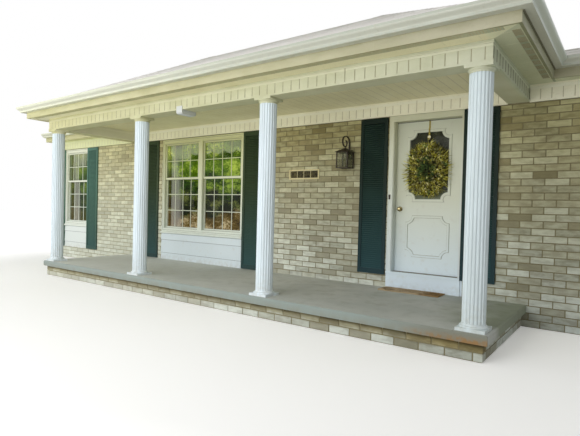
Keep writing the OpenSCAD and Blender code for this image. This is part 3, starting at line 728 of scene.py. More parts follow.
# %% Ceiling and soffit boards
ceiling, seams = blank(), blank()
boards(ceiling, (-beam_in, -front_in + 0.001, 2.7765), (beam_in, -0.027, 2.7808), 0, 0.12215,
       0.006, seams, 2.697)
soffit_low, soffit_high, wall_side = 2.7775, 2.7805, -0.0265
for left, right_end in ((eave_x, cad_right), (cad_left, -eave_x)):
    boards(ceiling, (left, -0.174, soffit_low), (right_end, wall_side, soffit_high), 0, 0.1222)
corner_x, soffit_out, beside_beam, sheet_w = 3.988, 1.984, 0.0095, 0.305
under = blank()
boards(under, (-corner_x, -soffit_out + 0.001, soffit_low),
       (corner_x, -front_out - beside_beam, soffit_high), 0, sheet_w)
for side in (1, -1):
    cut(under, (side * corner_x, -soffit_out, 0), (side, 1, 0))
join(ceiling, under)
for side in (1, -1):
    under = blank()
    x = sorted((side * (beam_out + beside_beam), side * (corner_x - 0.001)))
    boards(under, (x[0], -soffit_out, soffit_low), (x[1], wall_side, soffit_high), 1, sheet_w)
    cut(under, (side * corner_x, -soffit_out, 0), (-side, -1, 0))
    join(ceiling, under)
piece("ceiling_boards", ceiling, lightened_trim, edge=0.0013)
# The seams get the same dark strips of painted shade as the grooves.
piece("ceiling_seams", seams, shadow)

# %% Vents
ribs, recess = blank(), blank()
vent_x, vent_y, vent_w, count, group = 3.87, -1.974, 0.066, 298, 6
rib, rib_top, recess_z = 2 * vent_x / count, 2.7772, (2.7768, 2.7782)
box(recess, (-vent_x, vent_y, recess_z[0]), (vent_x, vent_y + vent_w, recess_z[1]))
for i in range(count):
    x = -vent_x + (i + 0.5) * rib
    wide, longer, low = (0.013, 0.002, 2.7758) if i % (group + 1) == group else (
        0.0085, 0.0, 2.7755)
    box(ribs, (x - wide, vent_y - longer, low), (x + wide, vent_y + vent_w + longer, rib_top))
side_y, side_back, side_x = -1.86, -0.24, 3.978
for side in (1, -1):
    x = sorted((side * side_x, side * (side_x - vent_w)))
    box(recess, (x[0], side_y, recess_z[0]), (x[1], side_back, recess_z[1]))
    for i in range(int((side_back - side_y) / rib)):
        y = side_y + (i + 0.5) * rib
        wide, low = (0.021, 2.7755) if i % (group + 1) == group else (0.0036, 2.7750)
        box(ribs, (x[0], y - wide, low), (x[1], y + wide, rib_top))
gloom = Finish("vent_recess", roughness=0.9)
dim = gloom.blend((212, 200, 160), (182, 170, 132), gloom.noise(30, 3))
gloom.feed(base_color=gloom.blend(dim, (186, 176, 160), beside(gloom), "MULTIPLY"))
piece("vent_ribs", ribs, trim)
piece("vent_recesses", recess, gloom)

# %% [markdown]
# A gutter is bent from one strip of metal with baked paint, which has worn in long clouds, with
# thin marks where water ran over. On top lies painted light: lighter at the left, as in sun,
# greyer round the right corner as painted shade, and its lower curve lighter for light from below.

# %% Gutter finish
gutter = Finish("gutter_metal", roughness=0.38)
x = gutter.axis("X")
worn = gutter.mask(gutter.noise(2.4, 5, (1, 1, 6)), 0.42, 0.8)
lit_below = gutter.mask(gutter.facing("Z") * -1, 0.0, 0.5)
run_mark = gutter.mask(gutter.noise(34, 4, (1, 1, 0.08)), 0.6, 0.78)
baked = gutter.coats(
    (179, 184, 170),
    ((167, 172, 157), worn),
    # Painted light: lighter at the left and on the lower curve; painted shade past the right
    # corner.
    ((228, 231, 203), 0.9 - 0.9 * gutter.mask(x, -4.0, 1.5)),
    ((232, 232, 220), lit_below * 0.45),
    ((203, 212, 202), gutter.mask(gutter.facing("X"), 0.2, 0.6) * (x > 4.0)),
    ((176, 172, 150), run_mark * 0.35))
gutter.feed(base_color=baked, roughness=0.32 + 0.25 * worn,
            normal=gutter.bump(gutter.noise(7, 2), 0.004, 0.4))
dress(gutter, "front_gutters", "side_gutters")
dress(fascia_paint, "front_fascias", "side_fascias")
dress(trim, "front_soffits", "side_soffits")

# %% [markdown]
# The fascia behind the gutter comes in lengths. Its sheets lap about every 3 m, which shows as a
# fine upright line, and nails hold it along both edges. One nail head is made once and stamped
# at each place. Under each side gutter runs a dark line of painted shadow, cast by the gutter on
# the fascia.

# %% Eave joints
def stamp(shape, mesh, places):
    """Adds a copy of a small mesh at each place, a matrix or a point."""
    for at in places:
        matrix = at if isinstance(at, Matrix) else Matrix.Translation(at)
        mesh.transform(matrix)
        shape.from_mesh(mesh)
        mesh.transform(matrix.inverted())


laps, nails, disc, gutter_shade_line = blank(), blank(), blank(), blank()
for x in (-2.9, 0.1, 2.72):
    box(laps, (x, -2.0103, 2.7755), (x + 0.05, -2.008, 2.873))
bmesh.ops.create_cone(disc, cap_ends=True, segments=8, radius1=0.0042, radius2=0.003,
                      depth=0.0016, matrix=Matrix.Rotation(math.pi / 2, 4, "X"))
stamp(nails, mesh_of("nail_head", disc),
      [(-3.8 + 0.61 * i, -2.0098, z) for z in (2.792, 2.862) for i in range(13)])
for low, high in ((4.0125, 4.026), (-4.026, -4.0125)):
    box(gutter_shade_line, (low, -1.995, 2.861), (high, -0.21, 2.8735))
piece("fascia_laps", laps, fascia_paint, edge=0.0006)
piece("drip_shadow", gutter_shade_line, deep_shadow)
piece("fascia_nails", nails, fascia_paint)

# %% [markdown]
# The floor of the porch is a poured slab. Its top is troweled smooth and grey, painted lighter
# at the left as sunlit, and mossy at the right end. The front edge has a green cast, partly from
# damp and partly painted shade, which also darkens its rounded top edge, with brown run-off along
# its foot and a rusty corner. One material tells these parts by place: the edge is whatever lies
# past the bricks.

# %% Slab finish
slab = Finish("slab_concrete", roughness=0.85)
x, out, z = slab.axis("X"), slab.axis("Y") * -1, slab.axis("Z")
patch = slab.mask(slab.noise(1.6, 5), 0.35, 0.7)
near_edge = slab.mask(out + slab.noise(2, 3) * 0.3, 1.50, 1.72)
sunlit = slab.below(x, -3.6, 1.8)
moss = slab.mask(x + slab.noise(3, 4) * 0.9, 3.55, 4.1) * (1 - near_edge)
face = slab.mask(out, 1.762, 1.776)
foot = slab.below(z, 0.166, 0.235) * face
run_off = 0.25 + 0.75 * slab.mask(slab.noise(9, 5, (1, 1, 0.25)), 0.38, 0.66)
dull = slab.mask(x + slab.noise(3, 4) * 0.6, 2.9, 3.7) * face
corner = slab.mask(x + slab.noise(5, 3) * 0.5, 3.2, 3.75)
rusty = 0.3 + 0.7 * slab.mask(slab.noise(26, 5), 0.42, 0.6)
concrete = slab.coats(
    (164, 168, 163),
    ((186, 188, 182), patch),
    ((134, 134, 122), slab.mask(slab.noise(7, 6), 0.5, 0.75) * 0.45),
    ((184, 188, 182), near_edge * 0.5),
    # Painted sunlight at the left; the front face below is partly painted shade.
    ((213, 216, 210), sunlit * 0.7),
    ((131, 145, 140), face * 0.8),
    ((112, 122, 94), moss * 0.7),
    ((128, 117, 90), foot * run_off * 0.42),
    ((116, 108, 87), dull * 0.58),
    ((150, 112, 62), face * corner * rusty * slab.below(z, 0.185, 0.23) * 0.85),
    ((96, 92, 82), slab.mask(slab.noise(330, 3), 0.6, 0.75) * 0.35))
slab.feed(base_color=concrete, roughness=0.78 + 0.15 * patch,
          normal=slab.bump(slab.noise(150, 4) + slab.noise(12, 3) * 2, 0.0016, 0.8))
dress(slab, "porch_slab")

# %% [markdown]
# The columns are fluted metal with baked white paint, cool against the cream of the beams. Dust
# settles in the lower hand's breadth and thin streaks run down between the flutes. The square
# heads were painted with the beams, so they are cream.

# %% Column finish
column = Finish("column_paint", roughness=0.36)
dust = column.below(column.axis("Z"), 0.25, 0.62)
white = column.coats(
    (223, 235, 242),
    ((205, 216, 221), column.mask(column.noise(16, 4, (1, 1, 0.06)), 0.45, 0.75)),
    ((188, 186, 172), dust * column.mask(column.noise(22, 4), 0.3, 0.75) * 0.55),
    # Painted shade: the columns towards the right end are a shade darker.
    ((241, 242, 239), column.mask(column.axis("X"), 1.4, 3.5), "MULTIPLY"))
column.feed(base_color=white, normal=column.bump(column.noise(120, 3), 0.0006, 0.5),
            roughness=0.3 + 0.3 * column.noise(8, 3))
dress(column, "column_shafts", "column_feet")
dress(trim, "column_heads")

# %% [markdown]
# Windows, siding, door frame and door are painted white. The paint takes a warm cast high up,
# under the cream ceiling, and stays cool below; both casts are painted light. The left window is
# painted lighter, as in sun, and a second colour near the floor stands for splashed dirt. The
# four whites differ in those casts, which are painted light too.

# %% White paint
def white_paint(name, high, low, gloss, full=2.5):
    """A white finish with painted light: cool at the foot of the wall, warmer up to a full height.
    """
    made = Finish(name, roughness=gloss)
    z = made.axis("Z")
    foot = made.below(z, 0.253, 0.38)
    colour = made.coats(
        low,
        (high, made.mask(z, 0.3, full)),
        ((186, 182, 166), made.mask(made.noise(13, 5), 0.58, 0.85) * 0.35),
        # Painted sunlight on the left window.
        ((238, 243, 234), made.below(made.axis("X"), -5.4, -3.0) * 0.6),
        ((160, 152, 132), foot * made.mask(made.noise(17, 4), 0.35, 0.7) * 0.4))
    brushed = made.noise(90, 3, (1, 1, 0.12)) + made.noise(420, 2) * 0.3
    return made.feed(base_color=colour, roughness=gloss - 0.05 + 0.15 * made.noise(20, 3),
                     normal=made.bump(brushed, 0.0006, 0.6))


# Four copies of one white, whose casts differ as painted light for where each part stands.
house_white = white_paint("house_white", (209, 209, 155), (220, 229, 228), 0.42)
casing_white = white_paint("casing_white", (208, 208, 178), (206, 217, 222), 0.4)
door_white = white_paint("door_white", (203, 206, 184), (213, 229, 240), 0.34, 1.5)
siding_white = white_paint("siding_white", (210, 219, 216), (205, 217, 222), 0.42)
dress(house_white, "window_frames", "window_sashes")
dress(casing_white, "door_jambs", "door_head")
dress(siding_white, "siding_panels")
dress(door_white, "door_leaf", "door_mouldings", "door_sill")

# %% [markdown]
# Each pane is divided by thin bars, fixed to the face of the glass: four lights across, two
# rows in the upper sash and three in the lower. They are flat strips with eased edges.

# %% Window bars
bars, bar = blank(), 0.0065
panes = ((-6.295, -5.505), (-2.66, -1.78), (-1.60, -0.72))
sash_rows = ((0.0295, 0.0369, 1.8415, 2.455, (2.155,)),
             (0.0615, 0.0689, 0.895, 1.7965, (1.208, 1.515)))
for left, right_end in panes:
    for front_y, glass_y, low_z, high_z, rows in sash_rows:
        for i in (1, 2, 3):
            x = left + (right_end - left) * i / 4
            box(bars, (x - bar, front_y, low_z), (x + bar, glass_y, high_z))
        for z in rows:
            box(bars, (left, front_y + 0.0008, z - bar), (right_end, glass_y, z + bar))
piece("window_bars", bars, house_white, edge=0.002)

# %% [markdown]
# A window's frame is not one board. A brick mould covers the joint with the bricks, a stop bead
# holds the sash, and each joint is filled with sealant. The sealant strips are dark grey, partly
# old sealant and partly painted shade for the thin shadow at each step. Those thin rings give
# the window its lines, so each is a ring of four strips around an opening.

# %% Beads and sealant
def ring(shape, x, z, wide, y):
    """Four strips inside the edge of an upright rectangle."""
    for low, high in (((x[0], z[0]), (x[0] + wide, z[1])), ((x[1] - wide, z[0]), (x[1], z[1])),
                      ((x[0] + wide, z[0]), (x[1] - wide, z[0] + wide)),
                      ((x[0] + wide, z[1] - wide), (x[1] - wide, z[1]))):
        box(shape, (low[0], y[0], low[1]), (high[0], y[1], high[1]))


beads, sealant_and_shade, mould, stop, rail = blank(), blank(), 0.020, 0.011, 0.0405
for left, right_end in windows:
    ring(beads, (left, right_end), (0.8005, 2.5695), mould, (-0.008, 0.001))
    ring(sealant_and_shade, (left + mould, right_end - mould), (0.8205, 2.5495), 0.004, (-0.0008, 0.001))
for left, right_end in ((-6.34, -5.46), (-2.705, -1.735), (-1.645, -0.675)):
    ring(beads, (left, right_end), (0.8505, 2.4995), stop, (0.006, 0.0246))
    for inwards, z, wide, y in ((stop, (1.7965, 2.4885), 0.0045, (0.0238, 0.0252)),
                                (stop, (0.8615, 1.80), 0.0045, (0.0558, 0.0572)),
                                (rail, (1.837, 2.4595), 0.005, (0.0242, 0.0256)),
                                (rail, (0.8905, 1.801), 0.005, (0.0562, 0.0576))):
        ring(sealant_and_shade, (left + inwards, right_end - inwards), z, wide, y)
piece("frame_beads", beads, house_white, edge=0.003)
piece("frame_sealant", sealant_and_shade, clouded("sealant_and_painted_shade", (120, 120, 98), (92, 92, 74), 30,
                                        roughness=0.8))

# %% Siding shadows
# A thin dark strip under each lap is painted shadow.
under_laps = blank()
for left, right_end in windows:
    for z in (0.378, 0.631, 0.755):
        box(under_laps, (left, -0.009, z - 0.0065), (right_end, -0.001, z))
piece("siding_lap_shade", under_laps, clouded("lap_painted_shade", (150, 158, 160), (122, 130, 130), 9,
                                          roughness=0.9))

# %% [markdown]
# The glass mirrors trees and lawn, and no studio can give that picture. So the pane carries it as
# a painted reflection: five bands of light, from brown ground at the foot through deep shade to
# sunlit leaves, with one noise for the leaves in all of them. It is see-through where curtains
# hang behind it.

# %% Pane finish
pane = Finish("window_pane", roughness=0.03, specular_ior_level=0.04)
leafy = pane.noise(24, 10, (0.8, 1, 1.25), 0.8) * 0.55 + pane.noise(4, 4, (0.7, 1, 1.3)) * 0.45
height = pane.axis("Z") + (pane.noise(2.6, 4) - 0.5) * 0.7
mirror = pane.ramp(leafy, (0.38, (40, 32, 12)), (0.5, (104, 84, 36)),
                   (0.6, (206, 190, 150)))
for level, dark, middle, light in (
        (1.16, (8, 12, 4), (30, 40, 12), (110, 118, 60)),
        (1.52, (12, 22, 4), (48, 78, 10), (150, 176, 60)),
        (1.88, (30, 52, 4), (92, 128, 14), (196, 216, 84)),
        (2.18, (40, 62, 6), (112, 150, 24), (240, 250, 130))):
    leaves = pane.ramp(leafy, (0.38, dark), (0.5, middle), (0.6, light))
    mirror = pane.blend(mirror, leaves, pane.mask(height, level - 0.07, level + 0.07))
far_left = pane.below(pane.axis("X"), -5.0, -4.0)
mirror = pane.blend(mirror, (60, 78, 52), far_left * 0.62)
across = pane.axis("X") + 0.06 * height
over_sheer = (pane.below(across, -2.26, -2.1) * (1 - far_left)
              + pane.below(across, -5.86, -5.72) * far_left) * 0.5
over_valance = pane.mask(pane.axis("Z"), 2.10, 2.20) * 0.46
pane.feed(base_color=mirror, alpha=0.95 - (over_sheer | over_valance))
dress(pane, "window_glass")

# %% [markdown]
# Behind the glass hang a gathered valance with a scalloped hem and, at the left of each pair,
# a sheer. A gathered cloth is wider than the window: its flat width is the length of its wavy
# top edge. So the cloth is a fine grid that is pushed into folds, and its size is measured from
# the mesh and printed. The cloth glows a little, painted light for the daylight it lets through.

# %% Curtain finish
# The cloth glows a little: painted light for the daylight it lets through.
voile = Finish("voile", roughness=0.9, alpha=0.92, emission_strength=0.45)
weft, warp = (voile.node("ShaderNodeTexWave", {"bands_direction": way},
                         {"Vector": voile.place, "Scale": 380.0}, "Fac") for way in "ZX")
weave = weft * warp
thread = voile.blend((236, 232, 222), (252, 250, 242), weave)
voile.feed(base_color=thread, emission_color=thread, normal=voile.bump(weave, 0.0004))
# A dark sheet of painted shade stands for the dark room behind each window and the hall behind the
# door.
darkness = clouded("dark_room", (26, 27, 24), (40, 40, 34), 3, roughness=1.0)
print(voile.material.name, darkness.material.name)


# %% Curtains
rod, rod_y = 0.009, 0.168


def hang(name, left, right_end, top, hem, folds, depth, y=rod_y):
    """Hangs a gathered cloth. hem(x) gives the height of its lower edge."""
    cloth = blank()
    made = bmesh.ops.create_grid(cloth, x_segments=folds * 12, y_segments=10, size=0.5)["verts"]
    for v in made:
        u, down = v.co.x + 0.5, 0.5 - v.co.y
        x = left + (right_end - left) * u
        wave = math.sin(math.tau * folds * u + 0.9 * math.sin(7 * u + 2 * down))
        deep = depth * (0.55 + 0.45 * down + 0.25 * math.sin(9.1 * u))
        v.co = (x, y + deep * wave, top - (top - hem(x)) * down)
    area = sum(f.calc_area() for f in cloth.faces)
    rim = sorted((v for v in made if v.co.z > top - 1e-6), key=lambda v: v.co.x)
    flat_l = top - min(v.co.z for v in made)
    flat_w = max(sum((a.co - b.co).length for a, b in zip(rim, rim[1:])), area / flat_l)
    piece(name, cloth, voile, smooth=True)
    min(area, flat_w * flat_l)
    print(name, "flat", round(flat_w, 3), "by", round(flat_l, 3), "m")


rods, backs = blank(), blank()
for left, right_end in ((-6.388, -5.412), (-2.752, -0.628)):
    box(backs, (left, 0.216, 0.802), (right_end, 0.232, 2.566))
    bmesh.ops.create_cone(rods, cap_ends=True, segments=12, radius1=rod, radius2=rod,
                          depth=right_end - left, matrix=Matrix.Translation(
        ((left + right_end) / 2, rod_y, 2.512)) @ Matrix.Rotation(math.pi / 2, 4, "Y"))
piece("curtain_rods", rods, house_white, smooth=True)
piece("window_backs", backs, darkness, edge=0.002)


def scallop(x):
    """The height of a valance's hem."""
    return 2.325 - 0.06 * abs(math.sin(math.pi * (x + 0.05) / 0.30)) ** 0.7


hang("valance_left", -6.36, -5.44, 2.52, scallop, 22, 0.008)
hang("valance_right", -2.73, -0.65, 2.52, scallop, 48, 0.008)
hang("sheer_left", -6.36, -5.84, 2.50, lambda x: 0.815, 9, 0.013, 0.196)
hang("sheer_middle", -2.73, -2.20, 2.50, lambda x: 0.815, 8, 0.013, 0.196)

# %% [markdown]
# The shutters are moulded in dark green plastic with a fine wood grain pressed in. They turn
# bluer towards the foot, the louvres more than the frames, and the louvres take a lighter copy of
# the paint as painted light. Those by the middle window are a mossier green, and the left one is
# the palest. Screws with round heads hold each to the wall.

# %% Shutter finish
def shutter_paint(name, dark, faded, foot):
    """Green plastic between two colours, a little bluer towards the foot."""
    made = Finish(name, roughness=0.5, specular_ior_level=0.12)
    pressed = made.noise(30, 5, (1, 1, 0.05)) + made.noise(220, 2, (1, 1, 0.1)) * 0.4
    fade = made.mask(made.noise(2.5, 4), 0.3, 0.75)
    x = made.axis("X")
    low = made.below(made.axis("Z"), 0.3, 1.7)
    colour = made.coats(
        dark,
        (faded, fade),
        ((66, 80, 50), made.below(x, -0.3, 1.6) * 0.75),
        (foot, low * 0.65),
        ((90, 128, 114), made.below(x, -5.4, -3.4) * (0.9 - 0.6 * low)))
    return made.feed(base_color=colour, normal=made.bump(pressed, 0.0008, 0.7),
                     roughness=0.42 + 0.2 * fade)


shutter = shutter_paint("shutter_paint", (23, 36, 28), (31, 47, 38), (40, 66, 76))
# The louvres take a lighter copy of the paint, as painted light.
louvre = shutter_paint("louvre_paint", (34, 50, 42), (46, 66, 58), (57, 92, 100))
dress(shutter, "shutter_frames")
dress(louvre, "shutter_louvres")

# %% Shutter screws
screws, dome = blank(), blank()
bmesh.ops.create_uvsphere(dome, u_segments=10, v_segments=6, radius=0.0065,
                          matrix=Matrix.Diagonal((1, 0.5, 1, 1)))
cut(dome, (0, 0.0008, 0), (0, 1, 0))
screw = mesh_of("screw", dome)
for foot, *lefts in ((0.276, -6.80, -5.41, -3.265, -0.613), (0.44, 1.608, 3.030)):
    for left in lefts:
        stamp(screws, screw, [(left + dx, -0.0322, z) for dx in (0.026, 0.384)
                              for z in (foot + 0.05, (foot + 2.57) / 2, 2.50)])
piece("shutter_screws", screws, shutter, smooth=True)

# %% [markdown]
# Two metals are left: worn brass for knob and hinges, and dark bronze for lantern and doorbell.
# Brass dulls where no hand rubs it, so noise drives both its colour and its roughness.

# %% Metals
brass = Finish("brass", roughness=0.28, metallic=1.0)
tarnish = brass.mask(brass.noise(60, 4), 0.42, 0.75)
brass.feed(base_color=brass.blend((172, 160, 119), (112, 100, 64), tarnish),
           roughness=0.2 + 0.35 * tarnish, normal=brass.bump(brass.noise(300, 2), 0.0003))
bronze = Finish("dark_bronze", roughness=0.5, metallic=0.6)
rust = bronze.mask(bronze.noise(45, 5), 0.55, 0.72)
bronze.feed(base_color=bronze.blend((52, 46, 38), (98, 74, 48), rust * 0.6),
            roughness=0.4 + 0.35 * rust, normal=bronze.bump(bronze.noise(150, 4), 0.0008))
dress(brass, "door_knob", "jamb_hinges", "leaf_hinges")
dress(bronze, "lantern_cage", "lantern_bracket", "doorbell")

# %% [markdown]
# The lantern's panes are slightly rippled clear glass. Inside stands a candle sleeve with a
# small clear bulb, turned as profiles: a few points spun all the way round an upright axis.

# %% Lantern glass and candle
ripple = clouded("lantern_pane", (70, 74, 44), (128, 132, 96), 30, roughness=0.12, alpha=0.18)
ripple.feed(normal=ripple.bump(ripple.noise(70, 3), 0.002, 0.5))
dress(ripple, "lantern_glass")


def turned(profile, at, steps=20):
    """Spins a profile of (radius, height) points round an upright axis."""
    shape = blank()
    verts = [shape.verts.new((r, 0, z)) for r, z in profile]
    edges = [shape.edges.new(pair) for pair in zip(verts, verts[1:])]
    bmesh.ops.spin(shape, geom=[*verts, *edges], cent=(0, 0, 0), axis=(0, 0, 1),
                   angle=math.tau, steps=steps, use_merge=True, use_duplicate=False)
    bmesh.ops.remove_doubles(shape, verts=shape.verts, dist=1e-5)
    bmesh.ops.translate(shape, verts=shape.verts, vec=at)
    bmesh.ops.recalc_face_normals(shape, faces=shape.faces)
    return shape


lantern_at = (1.425, -0.145, 1.898)
sleeve = turned([(0, 0.0), (0.03, 0.0), (0.034, 0.004), (0.03, 0.008), (0.012, 0.01),
                 (0.011, 0.095), (0.0, 0.095)], lantern_at)
bulb = turned([(0, 0.094), (0.009, 0.094), (0.012, 0.106), (0.0165, 0.122), (0.014, 0.14),
               (0.007, 0.156), (0.0, 0.166)], lantern_at)
candle = clouded("candle_sleeve", (150, 142, 108), (112, 102, 70), 40, roughness=0.5)
piece("lantern_candle", sleeve, candle, smooth=True)
piece("lantern_bulb", bulb, ripple, smooth=True)

# %% [markdown]
# The plaque is a pale cast frame around four glazed tiles, which stay bare. Thin strips part the
# tiles, and a screw holds each corner: the shutter's screw head again, at a smaller scale.

# %% Plaque finish
plaque = Finish("plaque_paint", roughness=0.5)
pit = plaque.mask(plaque.noise(80, 4), 0.5, 0.8)
plaque.feed(base_color=plaque.blend((214, 202, 152), (176, 160, 112), pit),
            normal=plaque.bump(pit + plaque.noise(300, 2), 0.0007))
tile = Finish("dark_tile", specular_ior_level=0.15)
glaze = tile.noise(26, 5)
tile.feed(base_color=tile.ramp(glaze, (0.35, (40, 35, 16)), (0.7, (92, 84, 48))),
          roughness=0.3 + 0.3 * glaze, normal=tile.bump(glaze, 0.0008))
dress(plaque, "plaque_frame")
dress(tile, "plaque_tiles")

# %% Plaque strips and screws
strips, pegs, plaque_x = blank(), blank(), 0.632
for x in (plaque_x - 0.125, plaque_x, plaque_x + 0.125):
    box(strips, (x - 0.004, -0.0145, 1.7755), (x + 0.004, -0.005, 1.8805))
piece("plaque_strips", strips, plaque, edge=0.0015)
stamp(pegs, screw, [
    Matrix.Translation((plaque_x + dx, -0.0165, 1.828 + dz)) @ Matrix.Scale(0.7, 4)
    for dx in (-0.271, 0.271) for dz in (-0.066, 0.066)])
piece("plaque_screws", pegs, plaque, smooth=True)

# %% [markdown]
# The lamp under the beam is a box of white plastic with a ribbed cover. The ribs are thin boxes
# set across it, a few millimetres apart.

# %% Beam lamp
plastic = clouded("lamp_plastic", (208, 212, 210), (192, 197, 194), 14, 4, roughness=0.4)
plastic.feed(normal=plastic.bump(plastic.noise(200, 2), 0.0004))
dress(plastic, "beam_light")
cover = blank()
for i in range(24):
    y = -1.736 + i * 0.009
    box(cover, (-0.283, y - 0.002, 2.5328), (-0.187, y + 0.002, 2.5358))
piece("lamp_cover_ribs", cover, plastic, edge=0.0009)

# %% [markdown]
# The mat before the door is coir: short stiff tufts set in a thin backing. Thousands of tufts
# would be slow one by one, so a small patch is planted once and then stamped over the mat, now
# and then turned by half. Its right end has faded to orange.

# %% Mat
tuft, patch_x, patch_y = blank(), 0.04, 0.045
for i in range(11):
    for j in range(12):
        at = Vector(((i + chance.uniform(0.2, 0.8)) / 11 - 0.5, (j + chance.uniform(0.2, 0.8)) / 12
                     - 0.5, 0))
        tilt = Matrix.Rotation(chance.uniform(-0.35, 0.35), 4, "X") @ Matrix.Rotation(
            chance.uniform(-0.35, 0.35), 4, "Y")
        tint(tuft, bmesh.ops.create_cone(
            tuft, segments=3, radius1=0.0017, radius2=0.0007, depth=chance.uniform(0.006, 0.010),
            cap_ends=True, matrix=Matrix.Translation(
                (at.x * patch_x, at.y * patch_y, 0.2655)) @ tilt)["verts"])
mat, mat_x, mat_y, across, deep = blank(), 2.06, -0.30, 20, 6
box(mat, (mat_x, mat_y, 0.2532), (mat_x + across * patch_x, mat_y + deep * patch_y, 0.2635))
soften(mat, 0.003)
stamp(mat, mesh_of("tufts", tuft), [
    Matrix.Translation((mat_x + (i + 0.5) * patch_x, mat_y + (j + 0.5) * patch_y, 0))
    @ Matrix.Rotation(math.pi * chance.choice((0, 1)), 4, "Z")
    for i in range(across) for j in range(deep)])
print(len(mat.faces), "faces of coir")

# %% Coir
coir = Finish("coir", roughness=0.95)
fibre = coir.ramp(coir.tone(), (0.0, (118, 102, 80)), (0.5, (171, 152, 121)),
                  (1.0, (208, 192, 161)))
faded = coir.mask(coir.axis("X") + coir.noise(8, 3) * 0.1, 2.62, 2.78)
coir.feed(base_color=coir.blend(fibre, (130, 98, 48), faded * 0.75),
          normal=coir.bump(coir.noise(600, 2), 0.0006))
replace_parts(piece("coir_mat", mat, coir), "doormat")

# %% [markdown]
# The door's glass is dark with painted shade for the hall behind it, and a paler band at its foot
# is a painted reflection of the lawn. A thin dark blind behind the pane, another sheet of painted
# shade for the hall, rides on the door and keeps it dark from the porch. A black seal runs round
# the leaf, and a metal threshold lies under it.

# %% Door glass
hall = Finish("door_pane", roughness=0.05, specular_ior_level=0.06)
hall_shade = hall.ramp(hall.noise(9, 6, (1, 1, 1), 0.6), (0.35, (50, 52, 40)),
                  (0.6, (76, 79, 62)), (0.78, (104, 108, 86)))
lawn = hall.below(hall.axis("Z") + hall.noise(14, 3) * 0.1, 1.54, 1.68)
hall_shade = hall.blend(hall_shade, (132, 140, 112), lawn * 0.75)
hall.feed(base_color=hall_shade, alpha=0.72 + 0.2 * hall.noise(5, 3))
dress(hall, "door_glass")
blind = blank()
for i in range(30):
    z = 1.478 + i * 0.0292
    box(blind, (2.302, 0.1285, z), (2.804, 0.1325, z + 0.0284))
piece("door_blind", blind, darkness, "door", edge=0.001)

# %% Seals and threshold
rubber = clouded("seal_rubber", (36, 36, 34), (60, 58, 54), 40, roughness=0.7)
seals, threshold = blank(), blank()
for low, high in (((2.1005, 0.49), (2.1065, 2.502)), ((2.9985, 0.49), (3.0045, 2.502)),
                  ((2.1005, 2.4965), (3.0045, 2.5025))):
    box(seals, (low[0], 0.094, low[1]), (high[0], 0.0982, high[1]))
piece("door_seals", seals, rubber, edge=0.001)
sill_metal = clouded("threshold_metal", (150, 146, 134), (96, 90, 78), 25, 4, (0.2, 1, 1),
                     roughness=0.4, metallic=0.9)
for i in range(7):
    y = 0.022 + i * 0.0115
    box(threshold, (2.064, y, 0.4735), (3.042, y + 0.0075, 0.4782))
piece("door_threshold", threshold, sill_metal, edge=0.0012)

# %% [markdown]
# The door's mouldings are pressed strips. A narrow bead runs along the middle of each, and a thin
# dark ribbon on both sides is painted shade in the crease. All of them follow a rectangle whose
# corners are scooped out.

# %% Door beads and creases
door_x, scoop, steps = 2.553, 0.092, 8


def band(shape, width, z, grow, y):
    """A closed ring around the scooped rectangle, between two growths and two depths."""
    loops = []
    for g, depth in ((grow[0], y[0]), (grow[1], y[0]), (grow[1], y[1]), (grow[0], y[1])):
        radius = scoop - g
        first = math.asin(g / radius)
        sweep = math.pi / 2 + 2 * first
        loop = []
        for turn, (sx, sz) in enumerate(((1, 1), (-1, 1), (-1, -1), (1, -1))):
            corner = door_x + sx * width / 2, z[sz > 0]
            for i in range(steps + 1):
                angle = turn * math.pi / 2 - math.pi / 2 + first - i * sweep / steps
                loop.append(shape.verts.new((corner[0] + radius * math.cos(angle), depth,
                                             corner[1] + radius * math.sin(angle))))
        loops.append(loop)
    for a, b in zip(loops, loops[1:] + loops[:1]):
        for i in range(len(a)):
            shape.faces.new((a[i - 1], a[i], b[i], b[i - 1]))


door_beads, creases = blank(), blank()
glass, panel = (0.524, (1.463, 2.350)), (0.586, (0.690, 1.242))
bead_y, crease_y = (0.0898, 0.0914), (0.0994, 0.1004)
for shape, (width, z), grow, y in (
        (door_beads, glass, (0.008, 0.022), bead_y), (door_beads, panel, (-0.019, -0.008), bead_y),
        (creases, glass, (0.032, 0.0365), crease_y), (creases, panel, (0.0, 0.0045), crease_y),
        (creases, panel, (-0.0305, -0.026), crease_y)):
    band(shape, width, z, grow, y)
for shape in (door_beads, creases):
    bmesh.ops.recalc_face_normals(shape, faces=shape.faces)
piece("door_beads", door_beads, door_white, "door")
piece("door_creases", creases, clouded("crease_painted_shade", (168, 170, 154), (136, 138, 120), 12,
                                       roughness=0.9), "door")

# %% [markdown]
# The wreath is a thick oval of dried sprigs. It hides its own base, so what is modelled is the
# foliage: folded leaves of three lengths, small cream flowers, twigs, and a green cluster in the
# middle. Each kind is one small mesh, stamped hundreds of times: near the rim the leaves point
# outwards, and towards the middle they point at the viewer. Its tone gives each leaf a colour.

# %% Leaves
def leaf_mesh(name, length, width, curl, tone_low, tone_high):
    """A folded leaf: a grid of 2 by 3 faces, tapered, with a crease down the middle."""
    leaf = blank()
    made = bmesh.ops.create_grid(leaf, x_segments=2, y_segments=3, size=0.5)["verts"]
    for v in made:
        along, side = v.co.y + 0.5, v.co.x * 2
        taper = math.sin(math.pi * min(0.98, 0.08 + 0.9 * along)) ** 0.7
        v.co = (side * width / 2 * taper, length * along,
                abs(side) * width * 0.25 * taper + curl * length * along * along)
    mesh = mesh_of(name, leaf)
    mesh["tones"] = (tone_low, tone_high)
    return mesh


